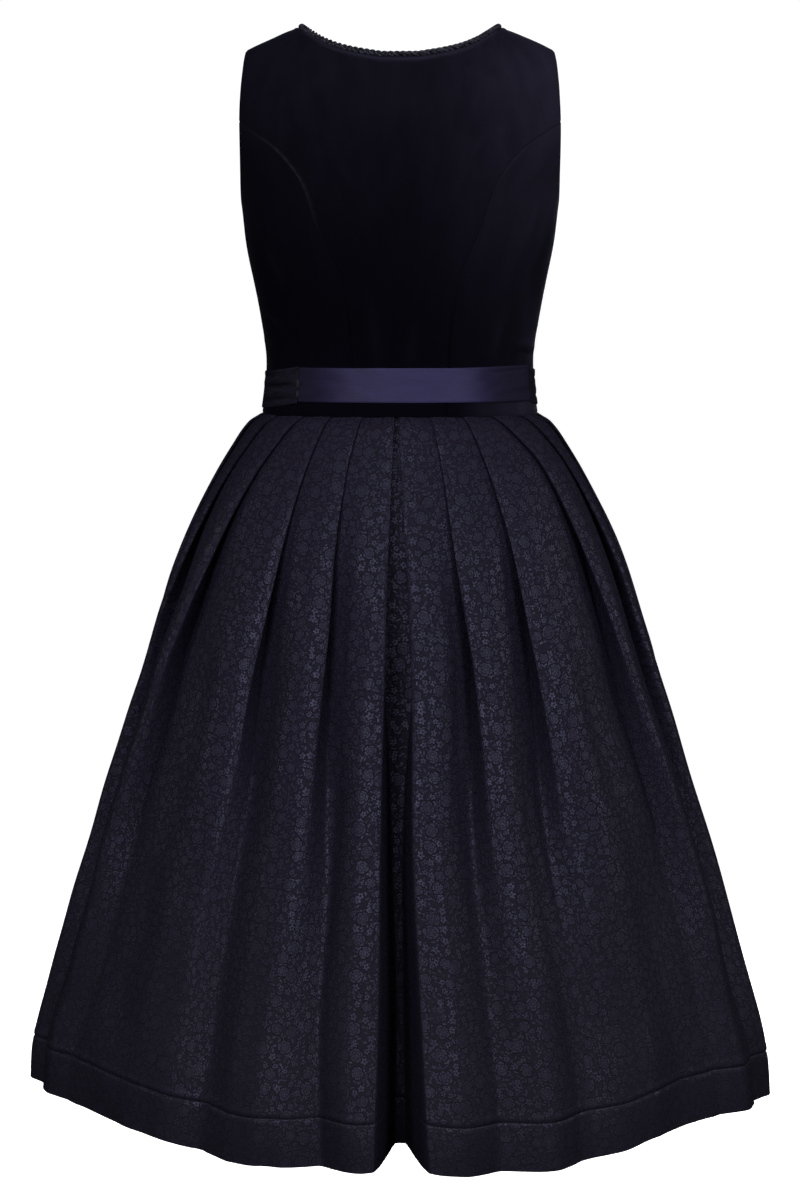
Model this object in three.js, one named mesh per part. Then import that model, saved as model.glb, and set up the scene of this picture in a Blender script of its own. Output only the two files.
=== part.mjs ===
// Sleeveless dirndl in its worn shape, hollow, each panel a closed cloth wall.
// Millimetres, +Z up. The wearer faces -Y and the wearer's left side is +X.
// The origin is midway between the two shoulder seams, where the shoulders hold the dress up.
import * as THREE from "three";

// Driving dimensions
const BODICE_WALL = 1.5; // velvet with its lining
const SKIRT_WALL = 1.25; // measured level, so about 1 mm square to the sloping cloth
const BELT_WALL = 1.0;
const SEAM_GAP = 0.3; // between two panels sewn together
const BELT_CLEARANCE = 0.4; // belt off the velvet under it
const WAIST_Z = -344.5; // seam between bodice and skirt
const HEM_Z = -987;
const NECK_POINT_X = 92; // inner end of the shoulder seam
const SHOULDER_TIP = { x: 141.2, z: -11.8 };
const ARMHOLE_NOTCH_Z = -77; // where the princess seam leaves the armhole
const UNDERARM_Z = -148;
const SHOULDER_CURVE = 95; // height over which the strap turns over the shoulder
const CORD_RADIUS = 2.25;
const PLEATS_A_SIDE = 9; // folded edges from the centre back to the front panel
const HAIRPIN = 1.7; // distance between the two layers at a folded edge

// Torso under the bodice: half width, half depth behind and in front, against height
const TORSO = [
  { z: 60, half: 174, back: 70, front: 72 },
  { z: 0, half: 171, back: 82, front: 80 },
  { z: -30, half: 169, back: 89, front: 92 },
  { z: -77, half: 164.5, back: 97, front: 109 },
  { z: -112, half: 156, back: 100, front: 119 },
  { z: -130, half: 151, back: 100.5, front: 124 },
  { z: -148, half: 146.6, back: 100, front: 128 },
  { z: -185, half: 142.2, back: 97, front: 132 },
  { z: -221, half: 135.3, back: 92.5, front: 127 },
  { z: -258, half: 128, back: 87, front: 114 },
  { z: -277, half: 124.9, back: 85, front: 107 },
  { z: -296, half: 123.3, back: 84, front: 103 },
  { z: -315, half: 123.8, back: 84.5, front: 102 },
  { z: -332, half: 125.6, back: 86, front: 103 },
  { z: -346, half: 127.8, back: 88, front: 104.5 },
];

// Shoulder seam height against distance from the middle; inside the neck point it only shapes the nape
const SHOULDER = [
  { x: 0, z: 48 },
  { x: 46, z: 31 },
  { x: 80, z: 14.5 },
  { x: 92, z: 9.6 },
  { x: 103, z: 5.8 },
  { x: 117, z: -0.3 },
  { x: 131.5, z: -7 },
  { x: 141.2, z: -11.8 },
  { x: 175, z: -27 },
];

// Back neckline, the velvet edge under the cord
const NECK_BACK = [
  { x: 0, z: -20.3 },
  { x: 14, z: -20.1 },
  { x: 28, z: -18.1 },
  { x: 43, z: -15.2 },
  { x: 57, z: -11.3 },
  { x: 72, z: -4.6 },
  { x: 80, z: 0.6 },
  { x: 86, z: 4.9 },
  { x: 92, z: 9.6 },
];

// Front edges, matched pair by pair: neckline then centre front, and armhole then princess seam
const FRONT_EDGES = [
  { inX: 92, inZ: 9.6, outX: 141.2, outZ: -11.8 },
  { inX: 91.4, inZ: 8.2, outX: 140.8, outZ: -13.2 },
  { inX: 90.2, inZ: 4, outX: 139.9, outZ: -17.4 },
  { inX: 88.3, inZ: -4, outX: 138.3, outZ: -25.2 },
  { inX: 85.5, inZ: -16, outX: 136.6, outZ: -37 },
  { inX: 81, inZ: -33, outX: 134, outZ: -53 },
  { inX: 73.5, inZ: -53, outX: 132.2, outZ: -70 },
  { inX: 61, inZ: -72, outX: 131.5, outZ: -84 },
  { inX: 43, inZ: -87, outX: 121, outZ: -104 },
  { inX: 22, inZ: -95.5, outX: 109, outZ: -125 },
  { inX: 0, inZ: -98, outX: 99, outZ: -148 },
  { inX: 0, inZ: -122, outX: 92, outZ: -168 },
  { inX: 0, inZ: -152, outX: 87, outZ: -190 },
  { inX: 0, inZ: -190, outX: 79, outZ: -217 },
  { inX: 0, inZ: -226, outX: 67, outZ: -244 },
  { inX: 0, inZ: -277, outX: 53, outZ: -277 },
  { inX: 0, inZ: -298, outX: 49, outZ: -298 },
  { inX: 0, inZ: -315, outX: 47, outZ: -315 },
  { inX: 0, inZ: -332, outX: 46, outZ: -332 },
  { inX: 0, inZ: WAIST_Z, outX: 45.5, outZ: WAIST_Z },
];

// Back edge from the shoulder tip down the armhole, then the princess seam; sideZ is the side seam height of the same row
const BACK_EDGE = [
  { x: 141.2, z: -11.8 },
  { x: 141.5, z: -13 },
  { x: 142.1, z: -16.6 },
  { x: 143, z: -22.5 },
  { x: 144, z: -32.4 },
  { x: 145.3, z: -48.2 },
  { x: 146.4, z: ARMHOLE_NOTCH_Z, sideZ: UNDERARM_Z },
  { x: 136.5, z: -85, sideZ: -151 },
  { x: 123, z: -94, sideZ: -156 },
  { x: 108.7, z: -105.5, sideZ: -162 },
  { x: 98, z: -118, sideZ: -169 },
  { x: 88.5, z: -132, sideZ: -177 },
  { x: 80.5, z: -152, sideZ: -188 },
  { x: 74, z: -172, sideZ: -201 },
  { x: 63.5, z: -197, sideZ: -217 },
  { x: 54.3, z: -217, sideZ: -230 },
  { x: 49.3, z: -242, sideZ: -248 },
  { x: 45.2, z: -277, sideZ: -277 },
  { x: 43.8, z: -298, sideZ: -298 },
  { x: 43, z: -315, sideZ: -315 },
  { x: 42.4, z: -332, sideZ: -332 },
  { x: 42, z: WAIST_Z, sideZ: WAIST_Z },
];

// Half width of the skirt over its folded edges, against height
const SKIRT_WIDTH = [
  { z: -344, half: 130.6 },
  { z: -351, half: 139.5 },
  { z: -360, half: 146.8 },
  { z: -369.5, half: 152.8 },
  { z: -397, half: 169.6 },
  { z: -425, half: 184.6 },
  { z: -453, half: 197.7 },
  { z: -481, half: 209 },
  { z: -509, half: 219.4 },
  { z: -537, half: 229.3 },
  { z: -565, half: 239.3 },
  { z: -593, half: 247.8 },
  { z: -649, half: 265.9 },
  { z: -706, half: 283.6 },
  { z: -762, half: 299.9 },
  { z: -819, half: 315.9 },
  { z: -876, half: 330.4 },
  { z: -934, half: 345.5 },
  { z: -962, half: 350 },
  { z: -987, half: 351.5 },
];

// How the pleats open on the way down: half height of a pleat, overlap of the folded cloth,
// depth of the box pleat, opening between its edges, and how far its inner folds lie under
const PLEAT = [
  { z: -344, height: 4.3, overlap: 33, boxDepth: 4.3, boxGap: 1.6, boxUnder: 33, soft: 0 },
  { z: -360, height: 4.6, overlap: 32, boxDepth: 4.6, boxGap: 2.2, boxUnder: 31, soft: 0.1 },
  { z: -397, height: 5.8, overlap: 28, boxDepth: 7, boxGap: 4, boxUnder: 27, soft: 0.5 },
  { z: -453, height: 8.5, overlap: 19, boxDepth: 14, boxGap: 7, boxUnder: 20, soft: 0.9 },
  { z: -520, height: 11.5, overlap: 10, boxDepth: 24, boxGap: 11, boxUnder: 12, soft: 1 },
  { z: -600, height: 13, overlap: 1, boxDepth: 37, boxGap: 16, boxUnder: 4, soft: 1 },
  { z: -700, height: 12.5, overlap: -9, boxDepth: 53, boxGap: 22, boxUnder: -3, soft: 1 },
  { z: -820, height: 11.5, overlap: -18, boxDepth: 70, boxGap: 31, boxUnder: -8, soft: 1 },
  { z: -987, height: 10.5, overlap: -27, boxDepth: 92, boxGap: 44, boxUnder: -12, soft: 1 },
];

// Folded edges seen from behind, as angles round the body in degrees at five heights, then how
// strongly each stands out at the middle and at the hem. The others follow at even spacing.
const FOLD_HEIGHTS = [-344, -390, -450, -620, -987];
const FOLDS_LEFT = [
  { angles: [15.5, 17.0, 17.0, 16.8, 17.2], middle: 1.0, hem: 1.05 },
  { angles: [29.3, 31.2, 32.0, 34.0, 36.5], middle: 1.0, hem: 0.45 },
  { angles: [43.2, 51.0, 56.0, 65.5, 70.5], middle: 0.95, hem: 0.35 },
];
const FOLDS_RIGHT = [
  { angles: [12.6, 13.6, 14.1, 15.6, 16.7], middle: 1.0, hem: 1.1 },
  { angles: [26.5, 29.0, 30.3, 31.5, 34.5], middle: 1.0, hem: 0.5 },
  { angles: [41.0, 52.5, 55.6, 62.5, 66.0], middle: 1.0, hem: 0.7 },
];
const HIDDEN_FOLD = { middle: 0.95, hem: 0.75 };
const FRONT_PANEL_SHARE = 1.8; // half of the plain front panel, in pleat spacings

// How far the hem hangs over its level line behind, across the wearer: uneven, as it hangs
const HEM_BEHIND = [
  { x: -350, lift: 3 },
  { x: -300, lift: 4 },
  { x: -260, lift: 4.6 },
  { x: -230, lift: 2.9 },
  { x: -200, lift: -4 },
  { x: -165, lift: -7 },
  { x: -130, lift: -8.5 },
  { x: -77, lift: -8.8 },
  { x: -40, lift: -5 },
  { x: 0, lift: 1.5 },
  { x: 40, lift: -3.2 },
  { x: 110, lift: -3.2 },
  { x: 137, lift: -4.2 },
  { x: 180, lift: -1.1 },
  { x: 230, lift: 7.3 },
  { x: 283, lift: 13.3 },
  { x: 350, lift: 17 },
];

const SKIRT_ROWS = [
  -344.8, -350, -359, -373, -394, -424, -462, -507, -560, -622, -692, -768, -846,
  -918, HEM_Z,
];
// Part of the way across a pleat's face: height there, pressed flat and hanging free
const FACE_POINTS = [
  { at: 0.13, flat: 0.74, free: 1.0 },
  { at: 0.4, flat: 0.2, free: 0.66 },
  { at: 0.72, flat: -0.44, free: -0.2 },
];

// Finish of each piece, by the start of its name
const FINISHES = [
  { piece: "bodice", color: 0x0f0e16, roughness: 0.95 }, // velvet
  { piece: "neck_cord", color: 0x23222f, roughness: 0.6 }, // twisted cord
  { piece: "belt_back", color: 0x2f2b48, roughness: 0.38 }, // satin ribbon
  { piece: "belt_front", color: 0x15131d, roughness: 0.8 }, // matte band
  { piece: "skirt", color: 0x201e2b, roughness: 0.7 }, // floral jacquard
];

// ---- curves and small vector helpers ----

// Smooth curve through the rows of a table, from column `from` to column `to`
function curve(rows, from, to) {
  const pts = rows.map((r) => [r[from], r[to]]).sort((a, b) => a[0] - b[0]);
  const n = pts.length;
  const slope = (i) => (pts[i + 1][1] - pts[i][1]) / (pts[i + 1][0] - pts[i][0]);
  const tangent = pts.map((_, i) => {
    if (i === 0) return slope(0);
    if (i === n - 1) return slope(n - 2);
    const a = slope(i - 1),
      b = slope(i);
    return a * b <= 0 ? 0 : (2 * a * b) / (a + b);
  });
  return (x) => {
    if (x <= pts[0][0]) return pts[0][1] + tangent[0] * (x - pts[0][0]);
    if (x >= pts[n - 1][0])
      return pts[n - 1][1] + tangent[n - 1] * (x - pts[n - 1][0]);
    let i = 0;
    while (x > pts[i + 1][0]) i++;
    const w = pts[i + 1][0] - pts[i][0],
      t = (x - pts[i][0]) / w;
    return (
      pts[i][1] * (2 * t ** 3 - 3 * t ** 2 + 1) +
      tangent[i] * w * (t ** 3 - 2 * t ** 2 + t) +
      pts[i + 1][1] * (3 * t ** 2 - 2 * t ** 3) +
      tangent[i + 1] * w * (t ** 3 - t ** 2)
    );
  };
}

const vec = (x, y, z) => new THREE.Vector3(x, y, z);
const mix = (a, b, t) => a + (b - a) * t;
const clamp01 = (t) => Math.min(1, Math.max(0, t));
const smooth = (t) => clamp01(t) ** 2 * (3 - 2 * clamp01(t));
const radians = (d) => (d * Math.PI) / 180;

// ---- closed walls ----

// Closed body between two grids of points, rows by columns, one on each face of the cloth
function wallMesh(name, outer, inner) {
  const rows = outer.length,
    cols = outer[0].length,
    half = rows * cols;
  const at = (side, i, j) => side * half + i * cols + j;
  const faces = [];
  const quad = (a, b, c, d) => faces.push(a, b, c, a, c, d);
  for (let i = 0; i + 1 < rows; i++)
    for (let j = 0; j + 1 < cols; j++) {
      quad(at(0, i, j), at(0, i + 1, j), at(0, i + 1, j + 1), at(0, i, j + 1));
      quad(at(1, i, j), at(1, i, j + 1), at(1, i + 1, j + 1), at(1, i + 1, j));
    }
  for (let j = 0; j + 1 < cols; j++) {
    quad(at(0, 0, j), at(0, 0, j + 1), at(1, 0, j + 1), at(1, 0, j));
    quad(at(0, rows - 1, j), at(1, rows - 1, j), at(1, rows - 1, j + 1), at(0, rows - 1, j + 1));
  }
  for (let i = 0; i + 1 < rows; i++) {
    quad(at(0, i, 0), at(1, i, 0), at(1, i + 1, 0), at(0, i + 1, 0));
    quad(at(0, i, cols - 1), at(0, i + 1, cols - 1), at(1, i + 1, cols - 1), at(1, i, cols - 1));
  }
  return closedMesh(name, [...outer.flat(), ...inner.flat()], faces);
}

// Mesh from points and triangles, turned to face outwards
function closedMesh(name, points, faces) {
  let volume = 0;
  for (let i = 0; i < faces.length; i += 3) {
    const [a, b, c] = [0, 1, 2].map((k) => points[faces[i + k]]);
    volume += a.dot(b.clone().cross(c));
  }
  if (volume < 0)
    for (let i = 0; i < faces.length; i += 3)
      [faces[i + 1], faces[i + 2]] = [faces[i + 2], faces[i + 1]];
  const geometry = new THREE.BufferGeometry();
  geometry.setAttribute(
    "position",
    new THREE.Float32BufferAttribute(points.flatMap((p) => p.toArray()), 3),
  );
  geometry.setIndex(faces);
  geometry.computeVertexNormals();
  const { color, roughness } = FINISHES.find((f) => name.startsWith(f.piece));
  const material = new THREE.MeshStandardMaterial({ color, roughness, metalness: 0 });
  const mesh = new THREE.Mesh(geometry, material);
  mesh.name = name;
  return mesh;
}

// ---- bodice surface ----

const torsoHalf = curve(TORSO, "z", "half");
const torsoBack = curve(TORSO, "z", "back");
const torsoFront = curve(TORSO, "z", "front");
const shoulderZ = curve(SHOULDER, "x", "z");
const neckBackZ = curve(NECK_BACK, "x", "z");
const SQUARENESS = { back: 0.12, front: 0.1 };

// Square of the surface's distance from the middle plane at (x, z)
function depthSquared(x, z, isBack) {
  const w2 = (x / torsoHalf(z)) ** 2;
  const depth = isBack ? torsoBack(z) : torsoFront(z);
  const round = 1 + (isBack ? SQUARENESS.back : SQUARENESS.front) * w2;
  const below = clamp01((shoulderZ(Math.abs(x)) - z) / SHOULDER_CURVE);
  return depth ** 2 * (1 - w2) * round ** 2 * (1 - (1 - below) ** 2);
}

// Point and outward direction on the bodice at (x, z)
function onTorso(x, z, isBack) {
  const sign = isBack ? 1 : -1,
    e = 0.05;
  const y = sign * Math.sqrt(Math.max(depthSquared(x, z, isBack), 0));
  const dx = (depthSquared(x + e, z, isBack) - depthSquared(x - e, z, isBack)) / (2 * e);
  const dz = (depthSquared(x, z + e, isBack) - depthSquared(x, z - e, isBack)) / (2 * e);
  return { point: vec(x, y, z), normal: vec(-dx, 2 * y, -dz).normalize() };
}

// The same by angle round the body: 0 behind, 90 degrees at the wearer's left side, 180 in front
function roundTorso(angle, z) {
  const x = torsoHalf(z) * Math.sin(angle);
  return onTorso(x, z, Math.cos(angle) > 0);
}

// Point on the shoulder seam line, or just behind or in front of it
function onShoulder(x, isBack) {
  const e = 0.5,
    ax = Math.abs(x);
  const slope = (shoulderZ(ax + e) - shoulderZ(ax - e)) / (2 * e);
  return {
    point: vec(x, isBack ? 1e-3 : -1e-3, shoulderZ(ax)),
    normal: vec(-slope * Math.sign(x), 0, 1).normalize(),
  };
}

// Moves the points of a grid's edge back from the seam by half the gap
function pullBack(edge, next) {
  edge.forEach((p, i) => {
    const along = edge[Math.min(i + 1, edge.length - 1)].point
      .clone()
      .sub(edge[Math.max(i - 1, 0)].point)
      .normalize();
    const across = next[i].point.clone().sub(p.point);
    across.addScaledVector(along, -across.dot(along));
    across.addScaledVector(p.normal, -across.dot(p.normal)).normalize();
    p.shift = (p.shift ?? vec(0, 0, 0)).addScaledVector(across, SEAM_GAP / 2);
  });
}

// Cloth panel from a grid of surface points; `seams` names the edges sewn to a neighbour
function bodicePanel(name, grid, seams) {
  const last = grid.length - 1,
    end = grid[0].length - 1;
  const column = (j) => grid.map((row) => row[j]);
  if (seams.includes("top")) pullBack(grid[0], grid[1]);
  if (seams.includes("bottom")) pullBack(grid[last], grid[last - 1]);
  if (seams.includes("start")) pullBack(column(0), column(1));
  if (seams.includes("end")) pullBack(column(end), column(end - 1));
  const place = (p, depth) => {
    const q = p.point.clone().addScaledVector(p.normal, -depth);
    return p.shift ? q.add(p.shift) : q;
  };
  return wallMesh(
    name,
    grid.map((row) => row.map((p) => place(p, 0))),
    grid.map((row) => row.map((p) => place(p, BODICE_WALL))),
  );
}

// ---- bodice panels ----

const NECK_COLUMNS = [0, 22, 42, 58, 71, 81, 88, NECK_POINT_X];
const SHOULDER_COLUMNS = [104, 117, 130, SHOULDER_TIP.x];

function backCentre() {
  const half = [...NECK_COLUMNS, ...SHOULDER_COLUMNS];
  const columns = [...half.slice(1).reverse().map((x) => -x), ...half];
  const grid = BACK_EDGE.map((row, i) =>
    columns.map((top) => {
      const s = top / SHOULDER_TIP.x,
        ax = Math.abs(top);
      if (i === 0 && ax >= NECK_POINT_X) return onShoulder(top, true);
      const topZ = ax < NECK_POINT_X ? neckBackZ(ax) : shoulderZ(ax);
      const fade = clamp01((row.z - ARMHOLE_NOTCH_Z) / (SHOULDER_TIP.z - ARMHOLE_NOTCH_Z));
      return onTorso(s * row.x, row.z + (topZ - SHOULDER_TIP.z) * fade, true);
    }),
  );
  // the shoulder parts and the princess seams are sewn, the neck and the armholes are not
  const seamCols = grid[0].map((_, j) => Math.abs(columns[j]) >= NECK_POINT_X);
  pullBack(grid[0].filter((_, j) => seamCols[j]), grid[1].filter((_, j) => seamCols[j]));
  const sewn = grid.slice(6);
  pullBack(sewn.map((r) => r[0]), sewn.map((r) => r[1]));
  pullBack(sewn.map((r) => r.at(-1)), sewn.map((r) => r.at(-2)));
  return bodicePanel("bodice_back_center", grid, ["bottom"]);
}

function sideBack(sign, name) {
  const rows = BACK_EDGE.slice(6);
  const shares = [0, 0.25, 0.5, 0.75, 1];
  const grid = rows.map((row, i) => {
    const start = Math.asin(row.x / torsoHalf(row.z));
    return shares.map((u, k) => {
      if (k === 0) return onTorso(sign * row.x, row.z, true);
      const first = Math.asin(rows[0].x / torsoHalf(rows[0].z));
      const sink = mix(rows[0].z, rows[0].sideZ, u) - armholeZ(mix(first, Math.PI / 2, u));
      const z = mix(row.z, row.sideZ, u) - sink * (1 - smooth(i / 9));
      return roundTorso(sign * Math.min(mix(start, Math.PI / 2, u), Math.PI / 2 - 1e-4), z);
    });
  });
  return bodicePanel(name, grid, ["start", "end", "bottom"]);
}

// Height at which the armhole edge, at an even distance from the middle, meets this angle
function armholeZ(angle) {
  const target = BACK_EDGE[6].x / Math.sin(angle);
  let low = UNDERARM_Z - 1,
    high = ARMHOLE_NOTCH_Z;
  for (let k = 0; k < 40; k++) {
    const middle = (low + high) / 2;
    if (torsoHalf(middle) > target) high = middle;
    else low = middle;
  }
  return (low + high) / 2;
}

const FRONT_PRINCESS_ROW = 7; // row of FRONT_EDGES where the seam leaves the armhole
const FRONT_SIDE_Z = [
  UNDERARM_Z, -159, -171, -184, -196, -209, -225, -243, -277, -298, -315, -332, WAIST_Z,
];

function sideFront(sign, name) {
  const rows = FRONT_EDGES.slice(FRONT_PRINCESS_ROW);
  const shares = [0, 0.1, 0.3, 0.6, 1];
  // quarter round of the armhole, from its front edge down to the underarm
  const armhole = (u) => mix(UNDERARM_Z, rows[0].outZ, 1 - Math.sqrt(1 - (1 - u) ** 2));
  const grid = rows.map((row, i) => {
    const start = Math.PI - Math.asin(row.outX / torsoHalf(row.outZ));
    return shares.map((u, k) => {
      if (k === 0) return onTorso(sign * row.outX, row.outZ, false);
      const sink = mix(rows[0].outZ, UNDERARM_Z, u) - armhole(u);
      const z = mix(row.outZ, FRONT_SIDE_Z[i], u) - sink * (1 - smooth(i / 7));
      return roundTorso(sign * mix(start, Math.PI / 2 + 1e-4, u), z);
    });
  });
  return bodicePanel(name, grid, ["start", "end", "bottom"]);
}

function front(sign, name) {
  const shares = [0, 0.14, 0.32, 0.5, 0.68, 0.86, 1];
  const grid = FRONT_EDGES.map((row, i) =>
    shares.map((u) => {
      const x = mix(row.inX, row.outX, u);
      if (i === 0) return onShoulder(sign * x, false);
      // the line of the row follows the shoulder seam at the top and levels out below
      const straight = mix(row.inZ, row.outZ, u);
      const line = i < 4 ? shoulderZ(x) - mix(FRONT_EDGES[0].inZ - row.inZ, FRONT_EDGES[0].outZ - row.outZ, u) : straight;
      const along = i < 4 ? mix(line, straight, i / 4) : straight;
      return onTorso(sign * x, along, false);
    }),
  );
  const closing = grid.slice(10);
  pullBack(closing.map((r) => r[0]), closing.map((r) => r[1]));
  const sewn = grid.slice(FRONT_PRINCESS_ROW);
  pullBack(sewn.map((r) => r.at(-1)), sewn.map((r) => r.at(-2)));
  return bodicePanel(name, grid, ["top", "bottom"]);
}

// ---- neck cord ----

// Velvet edge round the neck, from the middle of the back round both ways, closed
function neckEdge() {
  const back = NECK_COLUMNS.slice(0, -1).map((x) => onTorso(x, neckBackZ(x), true));
  const front = FRONT_EDGES.slice(1, 11).map((row) => onTorso(row.inX, row.inZ, false));
  const half = [...back, onShoulder(NECK_POINT_X, true), ...front];
  const mirrored = half
    .slice(1, -1)
    .reverse()
    .map(({ point: p, normal: n }) => ({ point: vec(-p.x, p.y, p.z), normal: vec(-n.x, n.y, n.z) }));
  return [...half, ...mirrored];
}

function neckCord() {
  const edge = neckEdge(),
    count = edge.length,
    sides = 6;
  const centres = edge.map(({ point, normal }, i) => {
    const along = edge[(i + 1) % count].point.clone().sub(edge[(i + count - 1) % count].point).normalize();
    const away = along.clone().cross(normal).normalize();
    // away from the cloth is towards the neck opening
    if (away.dot(vec(0, 0, 1)) + away.dot(point.clone().setZ(0).normalize()) * -0.6 < 0) away.negate();
    return point
      .clone()
      .addScaledVector(away, CORD_RADIUS + SEAM_GAP + 0.15)
      .addScaledVector(normal, -BODICE_WALL / 2);
  });
  const points = [],
    faces = [];
  centres.forEach((centre, i) => {
    const along = centres[(i + 1) % count].clone().sub(centres[(i + count - 1) % count]).normalize();
    const up = edge[i].normal.clone().addScaledVector(along, -edge[i].normal.dot(along)).normalize();
    const across = along.clone().cross(up);
    for (let k = 0; k < sides; k++) {
      const a = radians((360 * (k + 0.5)) / sides);
      points.push(
        centre.clone().addScaledVector(up, CORD_RADIUS * Math.cos(a)).addScaledVector(across, CORD_RADIUS * Math.sin(a)),
      );
    }
  });
  for (let i = 0; i < count; i++)
    for (let k = 0; k < sides; k++) {
      const a = i * sides + k,
        b = i * sides + ((k + 1) % sides),
        c = ((i + 1) % count) * sides + ((k + 1) % sides),
        d = ((i + 1) % count) * sides + k;
      faces.push(a, b, c, a, c, d);
    }
  return closedMesh("neck_cord", points, faces);
}

// ---- belt ----

const RIBBON = { left: 47.8, right: -71.5, top: -298.2, bottom: -331.6 };
// Front band, by angle from the ribbon's left end round the front to its right end
const BAND_EDGE = [
  { angle: 47.8, top: -299.6, bottom: -333 },
  { angle: 62, top: -302.6, bottom: -336.4 },
  { angle: 78, top: -304.8, bottom: -338.8 },
  { angle: 110, top: -305.2, bottom: -339.4 },
  { angle: 180, top: -304, bottom: -338.4 },
  { angle: 250, top: -304, bottom: -337.6 },
  { angle: 280, top: -302.6, bottom: -335 },
  { angle: 288.5, top: -301.2, bottom: -333 },
];

function beltPiece(name, from, to, topAt, bottomAt) {
  const count = Math.round(Math.abs(to - from) / 5);
  const trim = 0.1; // degrees off each end, for the seam
  const shares = [0, 0.5, 1];
  const ring = (u, lift) =>
    Array.from({ length: count + 1 }, (_, k) => {
      const angle = mix(from + trim, to - trim, k / count);
      const z = mix(topAt(angle), bottomAt(angle), u);
      const wrapped = ((angle + 540) % 360) - 180;
      const { point, normal } = roundTorso(radians(wrapped), z);
      return point.addScaledVector(normal, lift);
    });
  return wallMesh(
    name,
    shares.map((u) => ring(u, BELT_CLEARANCE + BELT_WALL)),
    shares.map((u) => ring(u, BELT_CLEARANCE)),
  );
}

// ---- skirt ----

const skirtHalf = curve(SKIRT_WIDTH, "z", "half");
const pleat = Object.fromEntries(
  ["height", "overlap", "boxDepth", "boxGap", "boxUnder", "soft"].map((k) => [k, curve(PLEAT, "z", k)]),
);

// Plan outline under the pleats at height z: half width and depths, flatter diagonals lower down
function skirtOutline(z) {
  const low = clamp01((skirtHalf(z) - 130.6) / 220);
  const half = skirtHalf(z) - pleat.height(z);
  return {
    half,
    back: mix(88, 292, low) - pleat.height(z) * 0.8,
    front: mix(104, 282, low) - pleat.height(z) * 0.8,
    squareBack: mix(0.1, -0.42, low),
    squareFront: mix(0.1, -0.28, low),
  };
}

function outlinePoint(o, angle) {
  const s = Math.sin(angle),
    c = Math.cos(angle);
  const depth = c > 0 ? o.back * c * (1 + o.squareBack * s * s) : o.front * c * (1 + o.squareFront * s * s);
  return [o.half * s, depth];
}

// Ring at height z: place(distance round from the middle of the back, level) and its half length
function skirtRing(z) {
  const o = skirtOutline(z),
    steps = 1440,
    pts = [],
    dist = [0];
  for (let k = 0; k <= steps; k++) {
    pts.push(outlinePoint(o, mix(-Math.PI, Math.PI, k / steps)));
    if (k) dist.push(dist[k - 1] + Math.hypot(pts[k][0] - pts[k - 1][0], pts[k][1] - pts[k - 1][1]));
  }
  const halfLength = dist[steps] / 2;
  const indexAt = (s) => {
    let low = 0,
      high = steps;
    while (high - low > 1) {
      const middle = (low + high) >> 1;
      if (dist[middle] <= s + halfLength) low = middle;
      else high = middle;
    }
    return low;
  };
  const place = (s, level) => {
    const i = indexAt(s),
      t = (s + halfLength - dist[i]) / (dist[i + 1] - dist[i]);
    const span = 10; // steps each way for a steady direction
    const wrap = (k) => ((k % steps) + steps) % steps;
    const a = pts[wrap(i - span)],
      b = pts[wrap(i + 1 + span)];
    const len = Math.hypot(b[0] - a[0], b[1] - a[1]);
    const x = mix(pts[i][0], pts[i + 1][0], t),
      y = mix(pts[i][1], pts[i + 1][1], t);
    return [x - (level * (b[1] - a[1])) / len, y + (level * (b[0] - a[0])) / len];
  };
  const distanceAt = (angle) => {
    const k = ((angle + Math.PI) / (2 * Math.PI)) * steps,
      i = Math.min(Math.floor(k), steps - 1);
    return mix(dist[i], dist[i + 1], k - i) - halfLength;
  };
  return { place, halfLength, distanceAt };
}

// Distances of the folded edges from the middle of the back on one side
function foldDistances(ring, z, folds) {
  const seen = folds.map(({ angles }) => {
    const rows = angles.map((angle, k) => ({ z: FOLD_HEIGHTS[k], angle }));
    return ring.distanceAt(radians(curve(rows, "z", "angle")(z)));
  });
  const rest = PLEATS_A_SIDE - seen.length;
  const spacing = (ring.halfLength - seen.at(-1)) / (rest + FRONT_PANEL_SHARE);
  for (let k = 1; k <= rest; k++) seen.push(seen[folds.length - 1] + k * spacing);
  return seen;
}

// How far a fold stands out: full at the top, its own share at the middle and the hem
function foldStrength(fold, z) {
  return curve(
    [
      { z: -344, k: 1 },
      { z: -460, k: 1 },
      { z: -640, k: fold.middle },
      { z: -987, k: fold.hem },
    ],
    "z",
    "k",
  )(z);
}

// Section through one side's pleats: [distance, level] from the middle of the back to the middle of the front
function sidePath(ring, z, folds) {
  const height = pleat.height(z),
    under = pleat.overlap(z),
    soft = pleat.soft(z);
  const box = { depth: pleat.boxDepth(z), half: pleat.boxGap(z) / 2, under: pleat.boxUnder(z) };
  const edges = [0, ...foldDistances(ring, z, folds)];
  const strength = edges.map((_, k) => foldStrength(folds[k - 1] ?? HIDDEN_FOLD, z));
  const high = edges.map((_, k) => (k ? height * strength[k] * mix(1, 0.8, soft) : height * mix(1, 0.85, soft)));
  const inner = box.half + box.under;
  const path = [
    [0, -box.depth],
    ...fold(inner, -box.depth, box.half, high[0]),
  ];
  for (let k = 0; k < edges.length; k++) {
    const start = k ? edges[k] : box.half;
    const closing = k === edges.length - 1;
    const low = closing ? height * 0.5 : -height * strength[k + 1];
    const peak = closing ? height * 0.9 : height * (k ? strength[k] : 1);
    const end = closing ? ring.halfLength : edges[k + 1] + under;
    for (const f of FACE_POINTS) {
      const shape = mix(f.flat, f.free, soft);
      path.push([mix(start, end, f.at), closing ? mix(peak, low, f.at) : mix(low, peak, (shape + 1) / 2)]);
    }
    if (!closing) path.push(...fold(end, low, edges[k + 1], high[k + 1]));
  }
  path.push([ring.halfLength, height * 0.5]);
  return path;
}

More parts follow.
